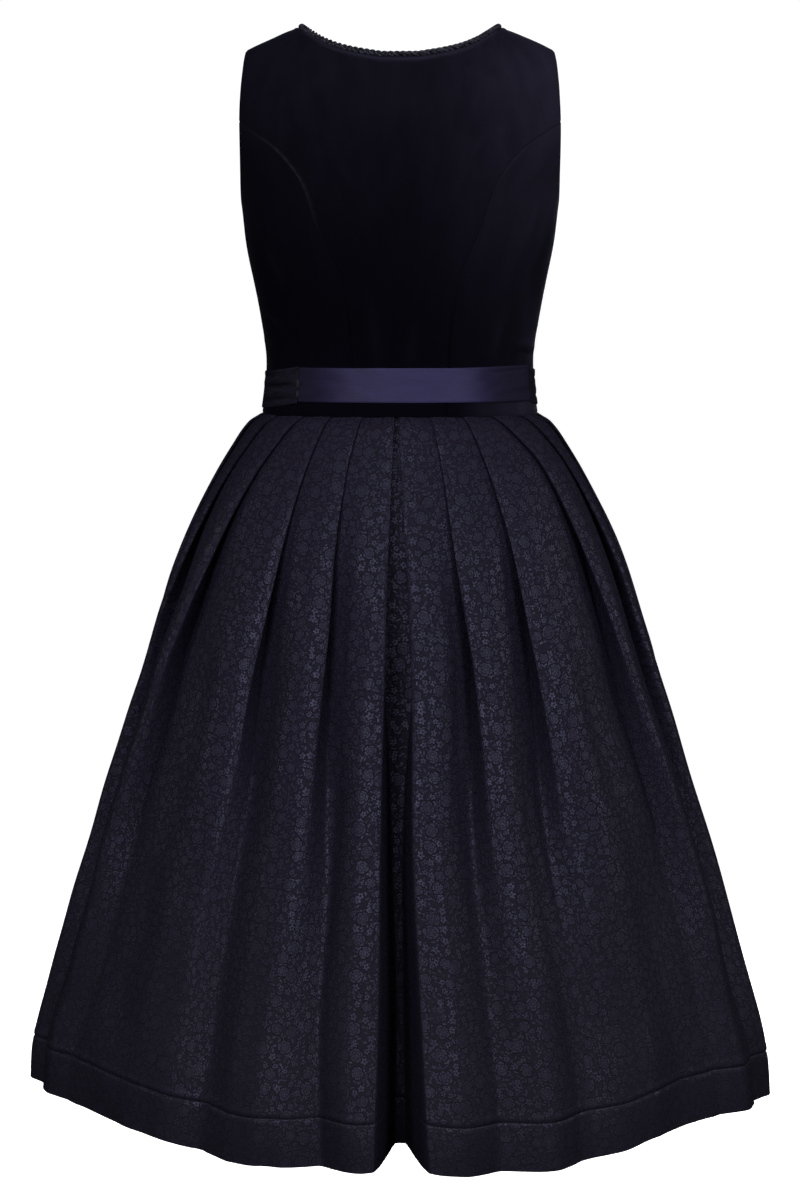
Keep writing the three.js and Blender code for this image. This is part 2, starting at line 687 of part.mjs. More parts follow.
// From the inner fold back under to the next folded edge: two square turns and the middle of the return
function fold(end, low, start, top) {
  const back = [end, low + HAIRPIN],
    front = [start, top - HAIRPIN];
  return [
    [end, low],
    back,
    [mix(back[0], front[0], 0.5), mix(back[1], front[1], 0.5)],
    front,
    [start, top],
  ];
}

const POINTS_A_PLEAT = FACE_POINTS.length + 5;
const SIDE_SEAM_FOLD = 5; // the side seam is hidden in the return of this fold
const SIDE_SEAM_POINT = 1 + POINTS_A_PLEAT * SIDE_SEAM_FOLD + 2;

// Both faces of the cloth along a path, by half the wall each way with square corners kept
function thicken(path, wall) {
  const unit = (a, b) => {
    const d = [b[0] - a[0], b[1] - a[1]],
      l = Math.hypot(...d);
    return [d[0] / l, d[1] / l];
  };
  return path.map((p, i) => {
    const a = i ? unit(path[i - 1], p) : unit(p, path[i + 1]);
    const b = i < path.length - 1 ? unit(p, path[i + 1]) : a;
    const n = [-(a[1] + b[1]), a[0] + b[0]];
    const scale = wall / 2 / Math.max(0.5 * (n[0] ** 2 + n[1] ** 2), 0.5);
    const off = [n[0] * scale, n[1] * scale];
    return { out: [p[0] + off[0], p[1] + off[1]], in: [p[0] - off[0], p[1] - off[1]] };
  });
}

// Height of the hem over its level line: read across the back by table, fading to level in front
const hemBehind = curve(HEM_BEHIND, "x", "lift");

function hemLift(x, y, z) {
  const low = smooth((z + 760) / (HEM_Z + 760));
  const inFront = 17 * smooth((x - 120) / 230) + 3 * smooth((-x - 190) / 160);
  return low * mix(inFront, hemBehind(x), smooth((y + 60) / 120));
}

// Panel between two path points counted along the whole section, wearer's right to left
function skirtPanel(name, pick) {
  const outer = [],
    inner = [];
  for (const z of SKIRT_ROWS) {
    const ring = skirtRing(z);
    const left = sidePath(ring, z, FOLDS_LEFT),
      right = sidePath(ring, z, FOLDS_RIGHT);
    const faces = thicken(pullEnds(pick(left, right)), SKIRT_WALL);
    const point = ([s, level]) => {
      const [x, y] = ring.place(s, level);
      return vec(x, y, z + hemLift(x, y, z));
    };
    outer.push(faces.map((f) => point(f.out)));
    inner.push(faces.map((f) => point(f.in)));
  }
  return wallMesh(name, outer, inner);
}

// Shortens both ends of a path by half the seam gap
function pullEnds(path) {
  const towards = (p, q) => {
    const l = Math.hypot(q[0] - p[0], q[1] - p[1]),
      t = SEAM_GAP / 2 / l;
    return [mix(p[0], q[0], t), mix(p[1], q[1], t)];
  };
  return [towards(path[0], path[1]), ...path.slice(1, -1), towards(path.at(-1), path.at(-2))];
}

const mirror = (path) => path.map(([s, level]) => [-s, level]).reverse();

function skirtBack() {
  return skirtPanel("skirt_back", (left, right) => [
    ...mirror(right.slice(1, SIDE_SEAM_POINT + 1)),
    ...left.slice(0, SIDE_SEAM_POINT + 1),
  ]);
}

function skirtFront(isLeft) {
  return skirtPanel(isLeft ? "skirt_front_l" : "skirt_front_r", (left, right) =>
    isLeft ? left.slice(SIDE_SEAM_POINT) : mirror(right.slice(SIDE_SEAM_POINT)),
  );
}

// ---- the dress ----

function dress() {
  const group = new THREE.Group();
  group.add(
    backCentre(),
    sideBack(1, "bodice_side_back_l"),
    sideBack(-1, "bodice_side_back_r"),
    sideFront(1, "bodice_side_front_l"),
    sideFront(-1, "bodice_side_front_r"),
    front(1, "bodice_front_l"),
    front(-1, "bodice_front_r"),
    neckCord(),
    beltPiece("belt_back_ribbon", RIBBON.right, RIBBON.left, () => RIBBON.top, () => RIBBON.bottom),
    beltPiece("belt_front_band", BAND_EDGE[0].angle, BAND_EDGE.at(-1).angle, curve(BAND_EDGE, "angle", "top"), curve(BAND_EDGE, "angle", "bottom")),
    skirtBack(),
    skirtFront(true),
    skirtFront(false),
  );
  return group;
}

export default dress();
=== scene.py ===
import bpy
import numpy as np
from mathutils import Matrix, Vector


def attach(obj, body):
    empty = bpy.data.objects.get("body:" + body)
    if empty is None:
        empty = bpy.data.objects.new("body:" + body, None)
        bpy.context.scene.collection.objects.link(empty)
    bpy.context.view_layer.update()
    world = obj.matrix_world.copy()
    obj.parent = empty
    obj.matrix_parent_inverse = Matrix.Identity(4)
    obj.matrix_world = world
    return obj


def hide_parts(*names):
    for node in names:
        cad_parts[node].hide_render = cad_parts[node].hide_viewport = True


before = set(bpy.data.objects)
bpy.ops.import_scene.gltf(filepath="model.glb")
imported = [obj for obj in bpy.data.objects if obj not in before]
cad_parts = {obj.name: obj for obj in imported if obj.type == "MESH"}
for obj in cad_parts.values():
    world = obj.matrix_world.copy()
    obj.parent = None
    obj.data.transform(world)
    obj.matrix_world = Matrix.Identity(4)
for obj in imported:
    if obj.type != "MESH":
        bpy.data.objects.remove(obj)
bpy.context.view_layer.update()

# ---- Camera ----
# A long lens behind the dress, a little above its middle and tipped down slightly.
bpy.ops.object.select_all(action="DESELECT")
bpy.ops.object.camera_add(location=(0, 3.5, -0.1935), rotation=(np.radians(84.7), 0, np.pi))
camera = bpy.context.object
camera.data.lens = 113.4
camera.data.sensor_width = 36
camera.data.clip_end = 2000
bpy.context.scene.camera = camera
bpy.context.scene.view_settings.view_transform = "Standard"

# ---- Studio ----
# A plain white floor well below the hem, as under a standing wearer, and white surroundings that fall
# off overhead. Both are only seen: soft lamps round the dress light it.
bpy.ops.mesh.primitive_plane_add(size=900, location=(0, 0, -1.4))
floor = bpy.context.object
floor.name = "studio_floor"
bpy.ops.object.transform_apply(location=True)
floor_paint = bpy.data.materials.new("floor_paint")
floor_paint.use_nodes = True
WHITE_FLOOR = {
    "Base Color": (0.4, 0.4, 0.4, 1), "Emission Color": (1, 1, 1, 1), "Emission Strength": 1.0,
    "Roughness": 0.95, "Specular IOR Level": 0.1,
}
for socket, value in WHITE_FLOOR.items():
    floor_paint.node_tree.nodes["Principled BSDF"].inputs[socket].default_value = value
floor.data.materials.append(floor_paint)
floor.visible_diffuse = False
floor.visible_glossy = False

surroundings = bpy.data.worlds.new("surroundings")
surroundings.use_nodes = True
bpy.context.scene.world = surroundings
surroundings.cycles_visibility.diffuse = False
surroundings.cycles_visibility.glossy = False
sky = surroundings.node_tree
direction = sky.nodes.new("ShaderNodeTexCoord")
height = sky.nodes.new("ShaderNodeSeparateXYZ")
fall = sky.nodes.new("ShaderNodeValToRGB")
for stop, position, colour in ((0, 0.08, (1.05, 1.05, 1.05, 1)), (1, 0.3, (0.2, 0.2, 0.21, 1))):
    fall.color_ramp.elements[stop].position = position
    fall.color_ramp.elements[stop].color = colour
sky.links.new(direction.outputs["Generated"], height.inputs[0])
sky.links.new(height.outputs["Z"], fall.inputs[0])
sky.links.new(fall.outputs[0], sky.nodes["Background"].inputs["Color"])

LAMPS = [
    # name, place, aim, size across, size high, watts
    ("camera_left", (1.3, 2.8, 0.6), (0, 0, -0.4), 1.2, 1.2, 115),
    ("camera_right", (-1.9, 2.6, 0.6), (0, 0, -0.4), 1.2, 1.2, 100),
    ("right_side", (-3.0, -0.1, 0.3), (0, 0, -0.4), 1.2, 1.2, 43),
    ("left_side", (3.0, -0.1, 0.3), (0, 0, -0.4), 1.2, 1.2, 25),
    ("above_behind", (0.0, 1.7, 2.4), (0, 0, -0.4), 1.2, 1.2, 50),
    ("over_camera", (0.2, 4.4, 0.5), (0, 0, -0.5), 1.8, 1.2, 55),
    ("front_soft", (-0.6, -3.0, 0.1), (0, 0, -0.5), 1.6, 1.6, 190),
]
for name, place, aim, across, high, watts in LAMPS:
    bpy.ops.object.light_add(type="AREA", location=place)
    lamp = bpy.context.object
    lamp.name = name
    lamp.rotation_euler = (Vector(aim) - Vector(place)).to_track_quat("-Z", "Y").to_euler()
    lamp.data.shape = "RECTANGLE"
    lamp.data.size = across
    lamp.data.size_y = high
    lamp.data.energy = watts
    # the lamp in front puts no glints on edges seen from behind
    lamp.visible_glossy = name != "front_soft"


# ---- Velvet back centre ----
# One piece of dark velvet from the neck to the waist, cut with a princess seam down each side.
# It is lined, its seams are turned in, and its neck and armhole edges are rolled under.
def curve(rows, column=1):
    """Smooth curve through a table, from its first column to another one"""
    rows = sorted(rows)
    at = np.array([row[0] for row in rows], float)
    to = np.array([row[column] for row in rows], float)
    slope = np.diff(to) / np.diff(at)
    before, after = slope[:-1], slope[1:]
    turning = before * after <= 0
    middle = np.where(turning, 0, 2 * before * after / np.where(turning, 1, before + after))
    tangent = np.concatenate([slope[:1], middle, slope[-1:]])

    def value(x):
        x = np.asarray(x, float)
        i = np.clip(np.searchsorted(at, x, side="right") - 1, 0, len(at) - 2)
        width = at[i + 1] - at[i]
        t = np.clip((x - at[i]) / width, 0, 1)
        inside = (
            to[i] * (2 * t**3 - 3 * t**2 + 1)
            + tangent[i] * width * (t**3 - 2 * t**2 + t)
            + to[i + 1] * (3 * t**2 - 2 * t**3)
            + tangent[i + 1] * width * (t**3 - t**2)
        )
        low = tangent[0] * np.minimum(x - at[0], 0)
        return inside + low + tangent[-1] * np.maximum(x - at[-1], 0)

    return value


def mix(a, b, t):
    return a + (b - a) * t


def smooth(t):
    t = np.clip(t, 0, 1)
    return t * t * (3 - 2 * t)


def swell(distance, width):
    """1 on a line, and falling off smoothly to both sides of it"""
    return np.exp(-((distance / width) ** 2))


def unit(directions):
    return directions / np.linalg.norm(directions, axis=-1, keepdims=True)


def walked(points, axis=0):
    """Distance along lines of points from the first point of each"""
    steps = np.linalg.norm(np.diff(points, axis=axis), axis=-1)
    return np.insert(np.cumsum(steps, axis=axis), 0, 0, axis=axis)


# Torso under the velvet: height, half width, half depth behind and in front
TORSO = [
    (60, 174, 70, 72), (0, 171, 82, 80), (-30, 169, 89, 92), (-77, 164.5, 97, 109),
    (-112, 156, 100, 119), (-130, 151, 100.5, 124), (-148, 146.6, 100, 128),
    (-185, 142.2, 97, 132), (-221, 135.3, 92.5, 127), (-258, 128, 87, 114),
    (-277, 124.9, 85, 107), (-296, 123.3, 84, 103), (-315, 123.8, 84.5, 102),
    (-332, 125.6, 86, 103), (-346, 127.8, 88, 104.5),
]
torso_half, torso_back, torso_front = (curve(TORSO, column) for column in (1, 2, 3))
# Shoulder seam and back neckline: distance from the middle, height
shoulder_height = curve([
    (0, 48), (46, 31), (80, 14.5), (92, 9.6), (103, 5.8), (117, -0.3), (131.5, -7), (141.2, -11.8),
    (175, -27),
])
neck_height = curve([
    (0, -20.3), (14, -20.1), (28, -18.1), (43, -15.2), (57, -11.3), (72, -4.6), (80, 0.6), (86, 4.9),
    (92, 9.6),
])
NECK_X, NECK_Z = 92, 9.6  # the shoulder seam's end at the neck
TIP_X, TIP_Z = 141.2, -11.8  # its end at the armhole
ARMHOLE_X = 146.4  # the armhole's edge behind, from the middle
BACK_PRINCESS_Z = -77  # start of the back princess seam on the armhole
ARMHOLE_LOW = -148
WAIST = -344.5
POINT_GAP = 2.7  # between the velvet's points
VELVET_WALL = 1.5  # velvet and lining together
ROUNDING = 95  # how far below the shoulder seam the torso still rounds off


def on_torso(x, z, behind):
    """Points on the velvet's face and the outward directions there"""
    x, z = np.broadcast_arrays(np.asarray(x, float), np.asarray(z, float))

    def depth_squared(x, z):
        share = (x / torso_half(z)) ** 2
        depth = torso_back(z) if behind else torso_front(z)
        fuller = 1 + (0.12 if behind else 0.1) * share
        below = np.clip((shoulder_height(abs(x)) - z) / ROUNDING, 0, 1)
        return depth**2 * (1 - share) * fuller**2 * (1 - (1 - below) ** 2)

    side = 1 if behind else -1
    y = side * np.sqrt(np.maximum(depth_squared(x, z), 0))
    step = 0.05
    across = (depth_squared(x + step, z) - depth_squared(x - step, z)) / (2 * step)
    upward = (depth_squared(x, z + step) - depth_squared(x, z - step)) / (2 * step)
    return np.stack([x, y, z], -1), unit(np.stack([-across, 2 * y, -upward], -1))


def round_torso(angle, z):
    """The same by angle round the body: 0 behind, 90 at the wearer's left side, 180 in front"""
    turn = np.radians(angle)
    x = torso_half(z) * np.sin(turn)
    back, back_normal = on_torso(x, z, True)
    front, front_normal = on_torso(x, z, False)
    behind = (np.cos(turn) > 0)[..., None]
    return np.where(behind, back, front), np.where(behind, back_normal, front_normal)


def even_steps(first, last, *lines):
    """Steps along a table's rows that cut the longest of the lines through them evenly"""
    fine = np.linspace(first, last, 4000)
    length = np.max([walked(line(fine)) for line in lines], axis=0)
    count = int(round(length[-1] / POINT_GAP))
    return np.interp(np.linspace(0, length[-1], count + 1), length, fine)


def edge_distance(points, edge):
    """Distance of every point of a grid from one of its edges, measured along the cloth"""
    axis = 1 if edge in ("start", "end") else 0
    if edge in ("start", "top"):
        return walked(points, axis)
    return np.flip(walked(np.flip(points, axis), axis), axis)


def crease(points, lines):
    """How far soft ridges and troughs, from one angle and height to another, lift a cloth's face"""
    lift = np.zeros(points.shape[:-1])
    pieces = 8
    for angle_a, z_a, angle_b, z_b, width, height in lines:
        line = round_torso(np.linspace(angle_a, angle_b, pieces + 1), np.linspace(z_a, z_b, pieces + 1))[0]
        distance, share = np.full(lift.shape, 1e6), np.zeros(lift.shape)
        for piece in range(pieces):
            along = line[piece + 1] - line[piece]
            t = np.clip(((points - line[piece]) @ along) / (along @ along), 0, 1)
            gap = np.linalg.norm(points - line[piece] - t[..., None] * along, axis=-1)
            share = np.where(gap < distance, (piece + t) / pieces, share)
            distance = np.minimum(distance, gap)
        lift += height * swell(distance, width) * (0.35 + 0.65 * np.sin(np.pi * share))
    return lift


def lay_cloth(name, worn, flat, wall, offset, finishes, marks=None):
    """Flat grid laid to its worn place, its cut as its UV map, thickened and given its finishes"""
    rows, columns = worn.shape[:2]
    bpy.ops.object.select_all(action="DESELECT")
    bpy.ops.mesh.primitive_grid_add(x_subdivisions=columns - 1, y_subdivisions=rows - 1, size=1)
    cloth = bpy.context.object
    cloth.name = name
    cloth.data.name = name
    mesh = cloth.data
    mesh.vertices.foreach_set("co", (worn / 1000).reshape(-1))
    loops = np.zeros(len(mesh.loops), int)
    mesh.loops.foreach_get("vertex_index", loops)
    while mesh.uv_layers:
        mesh.uv_layers.remove(mesh.uv_layers[0])
    cut = mesh.uv_layers.new(name="cloth")
    cut.data.foreach_set("uv", (flat.reshape(-1, 2)[loops] / 1000).reshape(-1))
    for mark, values in (marks or {}).items():
        attribute = mesh.attributes.new(mark, "FLOAT", "POINT")
        attribute.data.foreach_set("value", values.reshape(-1).astype(np.float32))
    mesh.update()
    for finish in finishes:
        mesh.materials.append(finish)
    thickness = cloth.modifiers.new("wall", "SOLIDIFY")
    thickness.thickness = wall / 1000
    thickness.offset = offset
    thickness.use_quality_normals = True
    thickness.material_offset = len(finishes) - 1
    bpy.ops.object.modifier_apply(modifier="wall")
    bpy.ops.object.shade_smooth_by_angle(angle=np.radians(50))
    return cloth


def reckoned(operation, swapped=False):
    """A method of Level that adds one Math node"""
    def method(self, *others):
        return self.finish.math(operation, *((*others, self) if swapped else (self, *others)))

    return method


class Level:
    """A number or colour of a finish, so that shader maths is written as sums"""

    def __init__(self, finish, socket):
        self.finish, self.socket = finish, socket

    __add__ = reckoned("ADD")
    __radd__ = reckoned("ADD", swapped=True)
    __sub__ = reckoned("SUBTRACT")
    __rsub__ = reckoned("SUBTRACT", swapped=True)
    __mul__ = reckoned("MULTIPLY")
    __truediv__ = reckoned("DIVIDE")
    __pow__ = reckoned("POWER")
    most = reckoned("MAXIMUM")
    least = reckoned("MINIMUM")
    sine = reckoned("SINE")
    cosine = reckoned("COSINE")
    absolute = reckoned("ABSOLUTE")
    fraction = reckoned("FRACT")

    def other(self, output):
        """Another output of the same node"""
        return Level(self.finish, self.socket.node.outputs[output])

    def between(self, low, high):
        """0 below low, 1 above high, and smooth between"""
        limits = {0: self, 1: low, 2: high, 3: 0.0, 4: 1.0}
        return self.finish.node("MapRange", limits, interpolation_type="SMOOTHSTEP")


class Finish:
    """The finish of one kind of cloth or cord"""

    def __init__(self, name):
        self.material = bpy.data.materials.new(name)
        self.material.use_nodes = True
        self.tree = self.material.node_tree

    def fill(self, sockets, values):
        for key, value in values.items():
            if isinstance(value, Level):
                self.tree.links.new(value.socket, sockets[key])
            else:
                sockets[key].default_value = value

    def node(self, kind, inputs=None, output=0, **settings):
        made = self.tree.nodes.new("ShaderNode" + kind)
        for name, value in settings.items():
            setattr(made, name, value)
        self.fill(made.inputs, inputs or {})
        return Level(self, made.outputs[output])

    def math(self, operation, *values):
        return self.node("Math", dict(enumerate(values)), operation=operation)

    def vector(self, operation, first, second):
        factor = "Scale" if operation == "SCALE" else 1
        return self.node("VectorMath", {0: first, factor: second}, operation=operation)

    def cloth_map(self, across=1.0, down=1.0):
        """Place on the flat cloth, in millimetres over the given sizes"""
        return self.vector("MULTIPLY", self.node("UVMap", uv_map="cloth"), (1000 / across, 1000 / down, 1))

    def worn_place(self):
        """Place on the worn dress, in metres"""
        return self.node("TexCoord", output="Object")

    def mark(self, name):
        """A number carried by the cloth's points"""
        return self.node("Attribute", output="Fac", attribute_name=name)

    def parts(self, vector):
        first = self.node("SeparateXYZ", {0: vector})
        return first, first.other(1), first.other(2)

    def threads(self, size):
        """Rise and fall of the warp threads and of the weft threads"""
        across, down, _ = self.parts(self.cloth_map(size, size))
        return (across * FULL_TURN).sine(), (down * FULL_TURN).sine()

    def noise(self, vector, scale, detail=2.0, roughness=0.5):
        values = {"Vector": vector, "Scale": scale, "Detail": detail, "Roughness": roughness}
        return self.node("TexNoise", values)

    def blend(self, share, colour_a, colour_b):
        paint = [c if isinstance(c, Level) else (*c, 1) for c in (colour_a, colour_b)]
        return self.node("Mix", {0: share, 6: paint[0], 7: paint[1]}, output=2, data_type="RGBA")

    def coats(self, ground, *others):
        """A ground colour under others, each with the share of it that shows"""
        for share, colour in others:
            ground = self.blend(share, ground, colour)
        return ground

    def dents(self, height, depth, strength=1.0):
        return self.node("Bump", {"Height": height, "Distance": depth, "Strength": strength})

    def set(self, **sockets):
        shader = self.tree.nodes["Principled BSDF"]
        self.fill(shader.inputs, {name.replace("_", " "): value for name, value in sockets.items()})


FULL_TURN = 6.283
velvet = Finish("velvet")
nap = velvet.noise(velvet.cloth_map(1.0, 2.5), 0.045, 3.0, 0.55)
brushed = velvet.noise(velvet.cloth_map(1.4, 9.0), 0.35, 3.0, 0.6)
pile = velvet.noise(velvet.cloth_map(), 2.6, 2.0, 0.7)
pile_light = (nap * 0.45 + brushed * 0.15 + pile * 0.5).between(0.3, 0.82) * 0.42 + 0.28
# painted light: the velvet is painted lighter towards the shoulders and on the right, where the lamps fall on
# it, and in two patches low on the right
velvet_turn, _, velvet_height = velvet.parts(velvet.worn_place())
velvet_drop = velvet_height * -1.0
velvet_light_from_above = ((velvet_height + 0.335) / 0.275).most(0.0) ** 1.4
velvet_right = (velvet_turn * -1.0).most(0.0)
velvet_painted_light = velvet_light_from_above + velvet_right * 3.0 - velvet_turn * 0.8
velvet_painted_light = velvet_painted_light + velvet_right * velvet_right * 180.0 * velvet_light_from_above.least(0.6)
velvet_painted_light = velvet_painted_light + velvet_drop.between(0.328, 0.334) * velvet_right.between(0.045, 0.105) * 2.2
velvet_painted_light = velvet_painted_light + velvet_drop.between(0.22, 0.29) * velvet_right.between(0.1, 0.125) * 1.8
velvet_fold_light_shade = velvet.mark("fold")
# the lighter pile is random tone times the painted light; the fold mark gives a painted highlight on ridges
# and rolled edges and painted shade in crease troughs
velvet_colour = velvet.coats(
    (0.0003, 0.0002, 0.0008),
    (pile_light * (velvet_painted_light * 0.3).most(0.05), (0.0102, 0.0097, 0.0178)),
    (velvet.mark("seam") * 0.7, (0.008, 0.008, 0.0125)),
    ((velvet_fold_light_shade * 0.11).most(0.0), (0.0085, 0.0080, 0.0140)),
    ((velvet_fold_light_shade * -0.75).most(0.0), (0.0002, 0.0001, 0.0005)))
velvet.set(
    Base_Color=velvet_colour,
    Roughness=0.92,
    Specular_IOR_Level=0.012,
    Sheen_Weight=0.014,
    Sheen_Roughness=0.3,
    Sheen_Tint=(0.6, 0.62, 1.0, 1),
    Normal=velvet.dents(pile * 0.8 + brushed * 0.25, 0.0003, 0.5),
)
lining = Finish("lining")
lining_warp, lining_weft = lining.threads(1.1)
lining_mottle = lining.noise(lining.cloth_map(1.1, 1.1), 0.08)
lining.set(
    Base_Color=lining.blend(lining_mottle, (0.0035, 0.0034, 0.005), (0.007, 0.0068, 0.0095)),
    Roughness=0.7,
    Specular_IOR_Level=0.08,
    Normal=lining.dents(lining_warp * lining_weft, 0.0001, 0.6),
)


def sew_panel(name, points, normals, sewn, creases, roll=0.0):
    """Velvet panel from a grid on the torso, its sewn edges turned in and its free edges rolled under"""
    lift = crease(points, creases)
    # the fold mark paints a highlight on ridges and shade in troughs; a rolled edge gets more painted
    # highlight than a crease of its height
    fold = lift + roll * 6.4
    points = points + normals * (roll * np.ones(lift.shape))[..., None]
    x, z = points[..., 0], points[..., 2]
    # the velvet lies in slow swells and small ripples
    lift += 0.3 * np.sin(x / 13 + z / 31) * np.sin(z / 19 - x / 47)
    lift += 0.22 * np.sin(x / 7.1 - z / 23) * np.sin(z / 37 + 1)
    seam, shift = np.zeros(lift.shape), np.zeros(points.shape)
    inward = unit(np.gradient(points, axis=1))
    seam_shows = np.where(x > 0, smooth((z + 190) / 80), 0.4 * smooth((z + 165) / 70))
    for edge, way in (("start", 1), ("end", -1), ("top", 0), ("bottom", 0)):
        distance = edge_distance(points, edge)
        here = sewn.get(edge, 0.0) * np.ones(lift.shape)
        lift -= here * 0.85 * np.clip(1 - distance / 2.6, 0, 1) ** 2
        lift -= (1 - here) * 0.55 * np.clip(1 - distance / 1.6, 0, 1) ** 2
        if way:
            stitches = 0.75 + 0.25 * np.sin(z / 1.3)
            seam = np.maximum(seam, here * seam_shows * stitches * swell(distance - 0.9, 0.75))
            # painted shade beside the sewn edges, low on the body
            shadow = np.where(x > 0, 0.3, 0.9) * smooth((-z - 225) / 45)
            fold -= here * shadow * swell(distance, 1.6)
            shift -= (way * 0.12 * here * np.clip(1 - distance / 2, 0, 1))[..., None] * inward
    worn = points + normals * lift[..., None] + shift
    flat = np.stack([edge_distance(points, "start"), -edge_distance(points, "top")], -1)
    flat[..., 0] -= flat[:, flat.shape[1] // 2, 0][:, None]
    faces = np.cross(points[-2, 1] - points[-2, 0], points[-1, 0] - points[-2, 0])
    marks = {"seam": seam, "fold": fold.clip(-1, 7)}
    if faces @ normals[-2, 0] < 0:
        worn, flat = worn[:, ::-1], flat[:, ::-1]
        marks = {mark: values[:, ::-1] for mark, values in marks.items()}
    finishes = [velvet.material, lining.material]
    panel = lay_cloth(name + "_velvet", worn, flat, VELVET_WALL, -1, finishes, marks)
    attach(panel, "root")
    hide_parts(name)


def row_shares(widths, count):
    """Shares across each row of a panel, close together by the edges and even between them"""
    close_edges = (0, 0.7, 1.4, 2.4)
    edge = np.array(close_edges)[None, :] / np.maximum(widths, 30)[:, None]
    middle = np.linspace(0, 1, count - 2 * len(close_edges) + 2)[1:-1]
    inner = edge[:, -1:] + (1 - 2 * edge[:, -1:]) * middle[None, :]
    return np.concatenate([edge, inner, 1 - edge[:, ::-1]], axis=1)


def rolled_neck(points, edge, height):
    """Ridge beside the neck edge, where the velvet is rolled under"""
    return height * swell(edge_distance(points, edge) - 3.8, 1.9)


# Back edge down the armhole, then the princess seam: row, x, z, side seam height
BACK_EDGE = [
    (0, TIP_X, TIP_Z, TIP_Z), (1, 141.5, -13, -13), (2, 142.1, -16.6, -16), (3, 143, -22.5, -22),
    (4, 144, -32.4, -32), (5, 145.3, -48.2, -48), (6, ARMHOLE_X, BACK_PRINCESS_Z, ARMHOLE_LOW),
    (7, 136.5, -85, -151), (8, 123, -94, -156), (9, 108.7, -105.5, -162), (10, 98, -118, -169),
    (11, 88.5, -132, -177), (12, 80.5, -152, -188), (13, 74, -172, -201), (14, 63.5, -197, -217),
    (15, 54.3, -217, -230), (16, 49.3, -242, -248), (17, 45.2, -277, -277), (18, 43.8, -298, -298),
    (19, 43, -315, -315), (20, 42.4, -332, -332), (21, 42, WAIST, WAIST),
]
PRINCESS_ROW, LAST_ROW = 6, 21
back_x = curve(BACK_EDGE, 1)
back_drop = curve([(row[0], (TIP_Z - row[2]) ** 0.5) for row in BACK_EDGE])
back_side_z = curve(BACK_EDGE[PRINCESS_ROW:], 3)


def back_z(row):
    return TIP_Z - back_drop(row) ** 2


steps = even_steps(0, LAST_ROW, lambda row: on_torso(back_x(row) * 0.75, back_z(row), True)[0])
shares = row_shares(2 * back_x(steps), 104) * 2 - 1
top = abs(shares * TIP_X)
top_height = np.where(top < NECK_X, neck_height(top), shoulder_height(top))
fade = np.clip((back_z(steps) - BACK_PRINCESS_Z) / (TIP_Z - BACK_PRINCESS_Z), 0, 1)[:, None]
x = shares * back_x(steps)[:, None]
z = back_z(steps)[:, None] + (top_height - TIP_Z) * fade
points, normals = on_torso(x, z, True)
on_seam = (back_z(steps) < BACK_PRINCESS_Z)[:, None].astype(float)
on_shoulder = (top >= NECK_X).astype(float)
roll = np.where(top < NECK_X - 2, rolled_neck(points, "top", 0.9), 0)
BACK_CREASES = [
    # angle and height at both ends, width, lift
    (-31, -250, -29, -292, 3.2, 0.9),
    (-34.5, -270, -33.5, -296, 2.2, -1.0),
    (-6, -262, -4, -296, 5.0, 0.5),
    (12, -240, 9, -296, 6.0, 0.5),
    (21, -258, 24, -296, 2.6, -0.6),
    (-12, -60, 14, -64, 14.0, 0.5),
    (20, -30, 34, -60, 8.0, 0.5),
    (-22, -30, -36, -58, 8.0, 0.6),
]
back_sewn = {"start": on_seam, "end": on_seam, "top": on_shoulder, "bottom": 1.0}
sew_panel("bodice_back_center", points, normals, back_sewn, BACK_CREASES, roll)

# ---- Velvet side backs ----
# One panel on each side from the princess seam round to the side seam, its top edge part of the armhole.
# Small creases run in from the side seam where the waist bends.
SIDES = ((1, "l"), (-1, "r"))
SIDE_SEAM = 90  # degrees round the body
SIDE_SEWN = {"start": 1.0, "end": 1.0, "bottom": 1.0}
# the armhole is cut straight down: the height where its edge comes to each angle, found by halving
armhole_turns = np.linspace(50, SIDE_SEAM, 400)
too_low, too_high = np.full(400, ARMHOLE_LOW - 1.0), np.full(400, float(BACK_PRINCESS_Z))
for _ in range(40):
    middle = (too_low + too_high) / 2
    wide = torso_half(middle) > ARMHOLE_X / np.sin(np.radians(armhole_turns))
    too_high = np.where(wide, middle, too_high)
    too_low = np.where(wide, too_low, middle)

steps = even_steps(
    PRINCESS_ROW, LAST_ROW,
    lambda row: on_torso(back_x(row), back_z(row), True)[0],
    lambda row: round_torso(SIDE_SEAM, back_side_z(row))[0])
start = np.degrees(np.arcsin(np.minimum(back_x(steps) / torso_half(back_z(steps)), 1)))
shares = row_shares(np.radians(SIDE_SEAM - start) * 125, 46)
edge_turns = mix(start[0], SIDE_SEAM, shares)
edge_height = np.interp(edge_turns, armhole_turns, (too_low + too_high) / 2)
sink = mix(back_z(PRINCESS_ROW), ARMHOLE_LOW, shares) - edge_height
sink -= sink[:, :1] * (1 - shares)
z = mix(back_z(steps)[:, None], back_side_z(steps)[:, None], shares)
z -= sink * (1 - smooth((steps - PRINCESS_ROW) / 9))[:, None]
angle = np.minimum(mix(start[:, None], SIDE_SEAM, shares), SIDE_SEAM - 0.01)
SIDE_BACK_CREASES = {
    1: [
        (70, -250, 58, -266, 2.4, 0.8), (86, -276, 66, -283, 2.6, 0.9),
        (84, -286, 68, -291, 2.0, -0.8), (60, -190, 52, -224, 5, 0.5),
    ],
    -1: [
        (-86, -284, -57, -277, 2.2, 1.2), (-86, -290, -59, -284, 1.8, -1.1), (-48, -246, -43, -292, 4.0, 0.8),
        (-86, -264, -72, -262, 2.4, 0.7), (-60, -150, -50, -200, 6, 0.6), (-74, -170, -64, -226, 7, -0.5),
    ],
}
for side, letter in SIDES:
    points, normals = round_torso(side * angle, z)
    name = "bodice_side_back_" + letter
    sew_panel(name, points, normals, SIDE_SEWN, SIDE_BACK_CREASES[side])

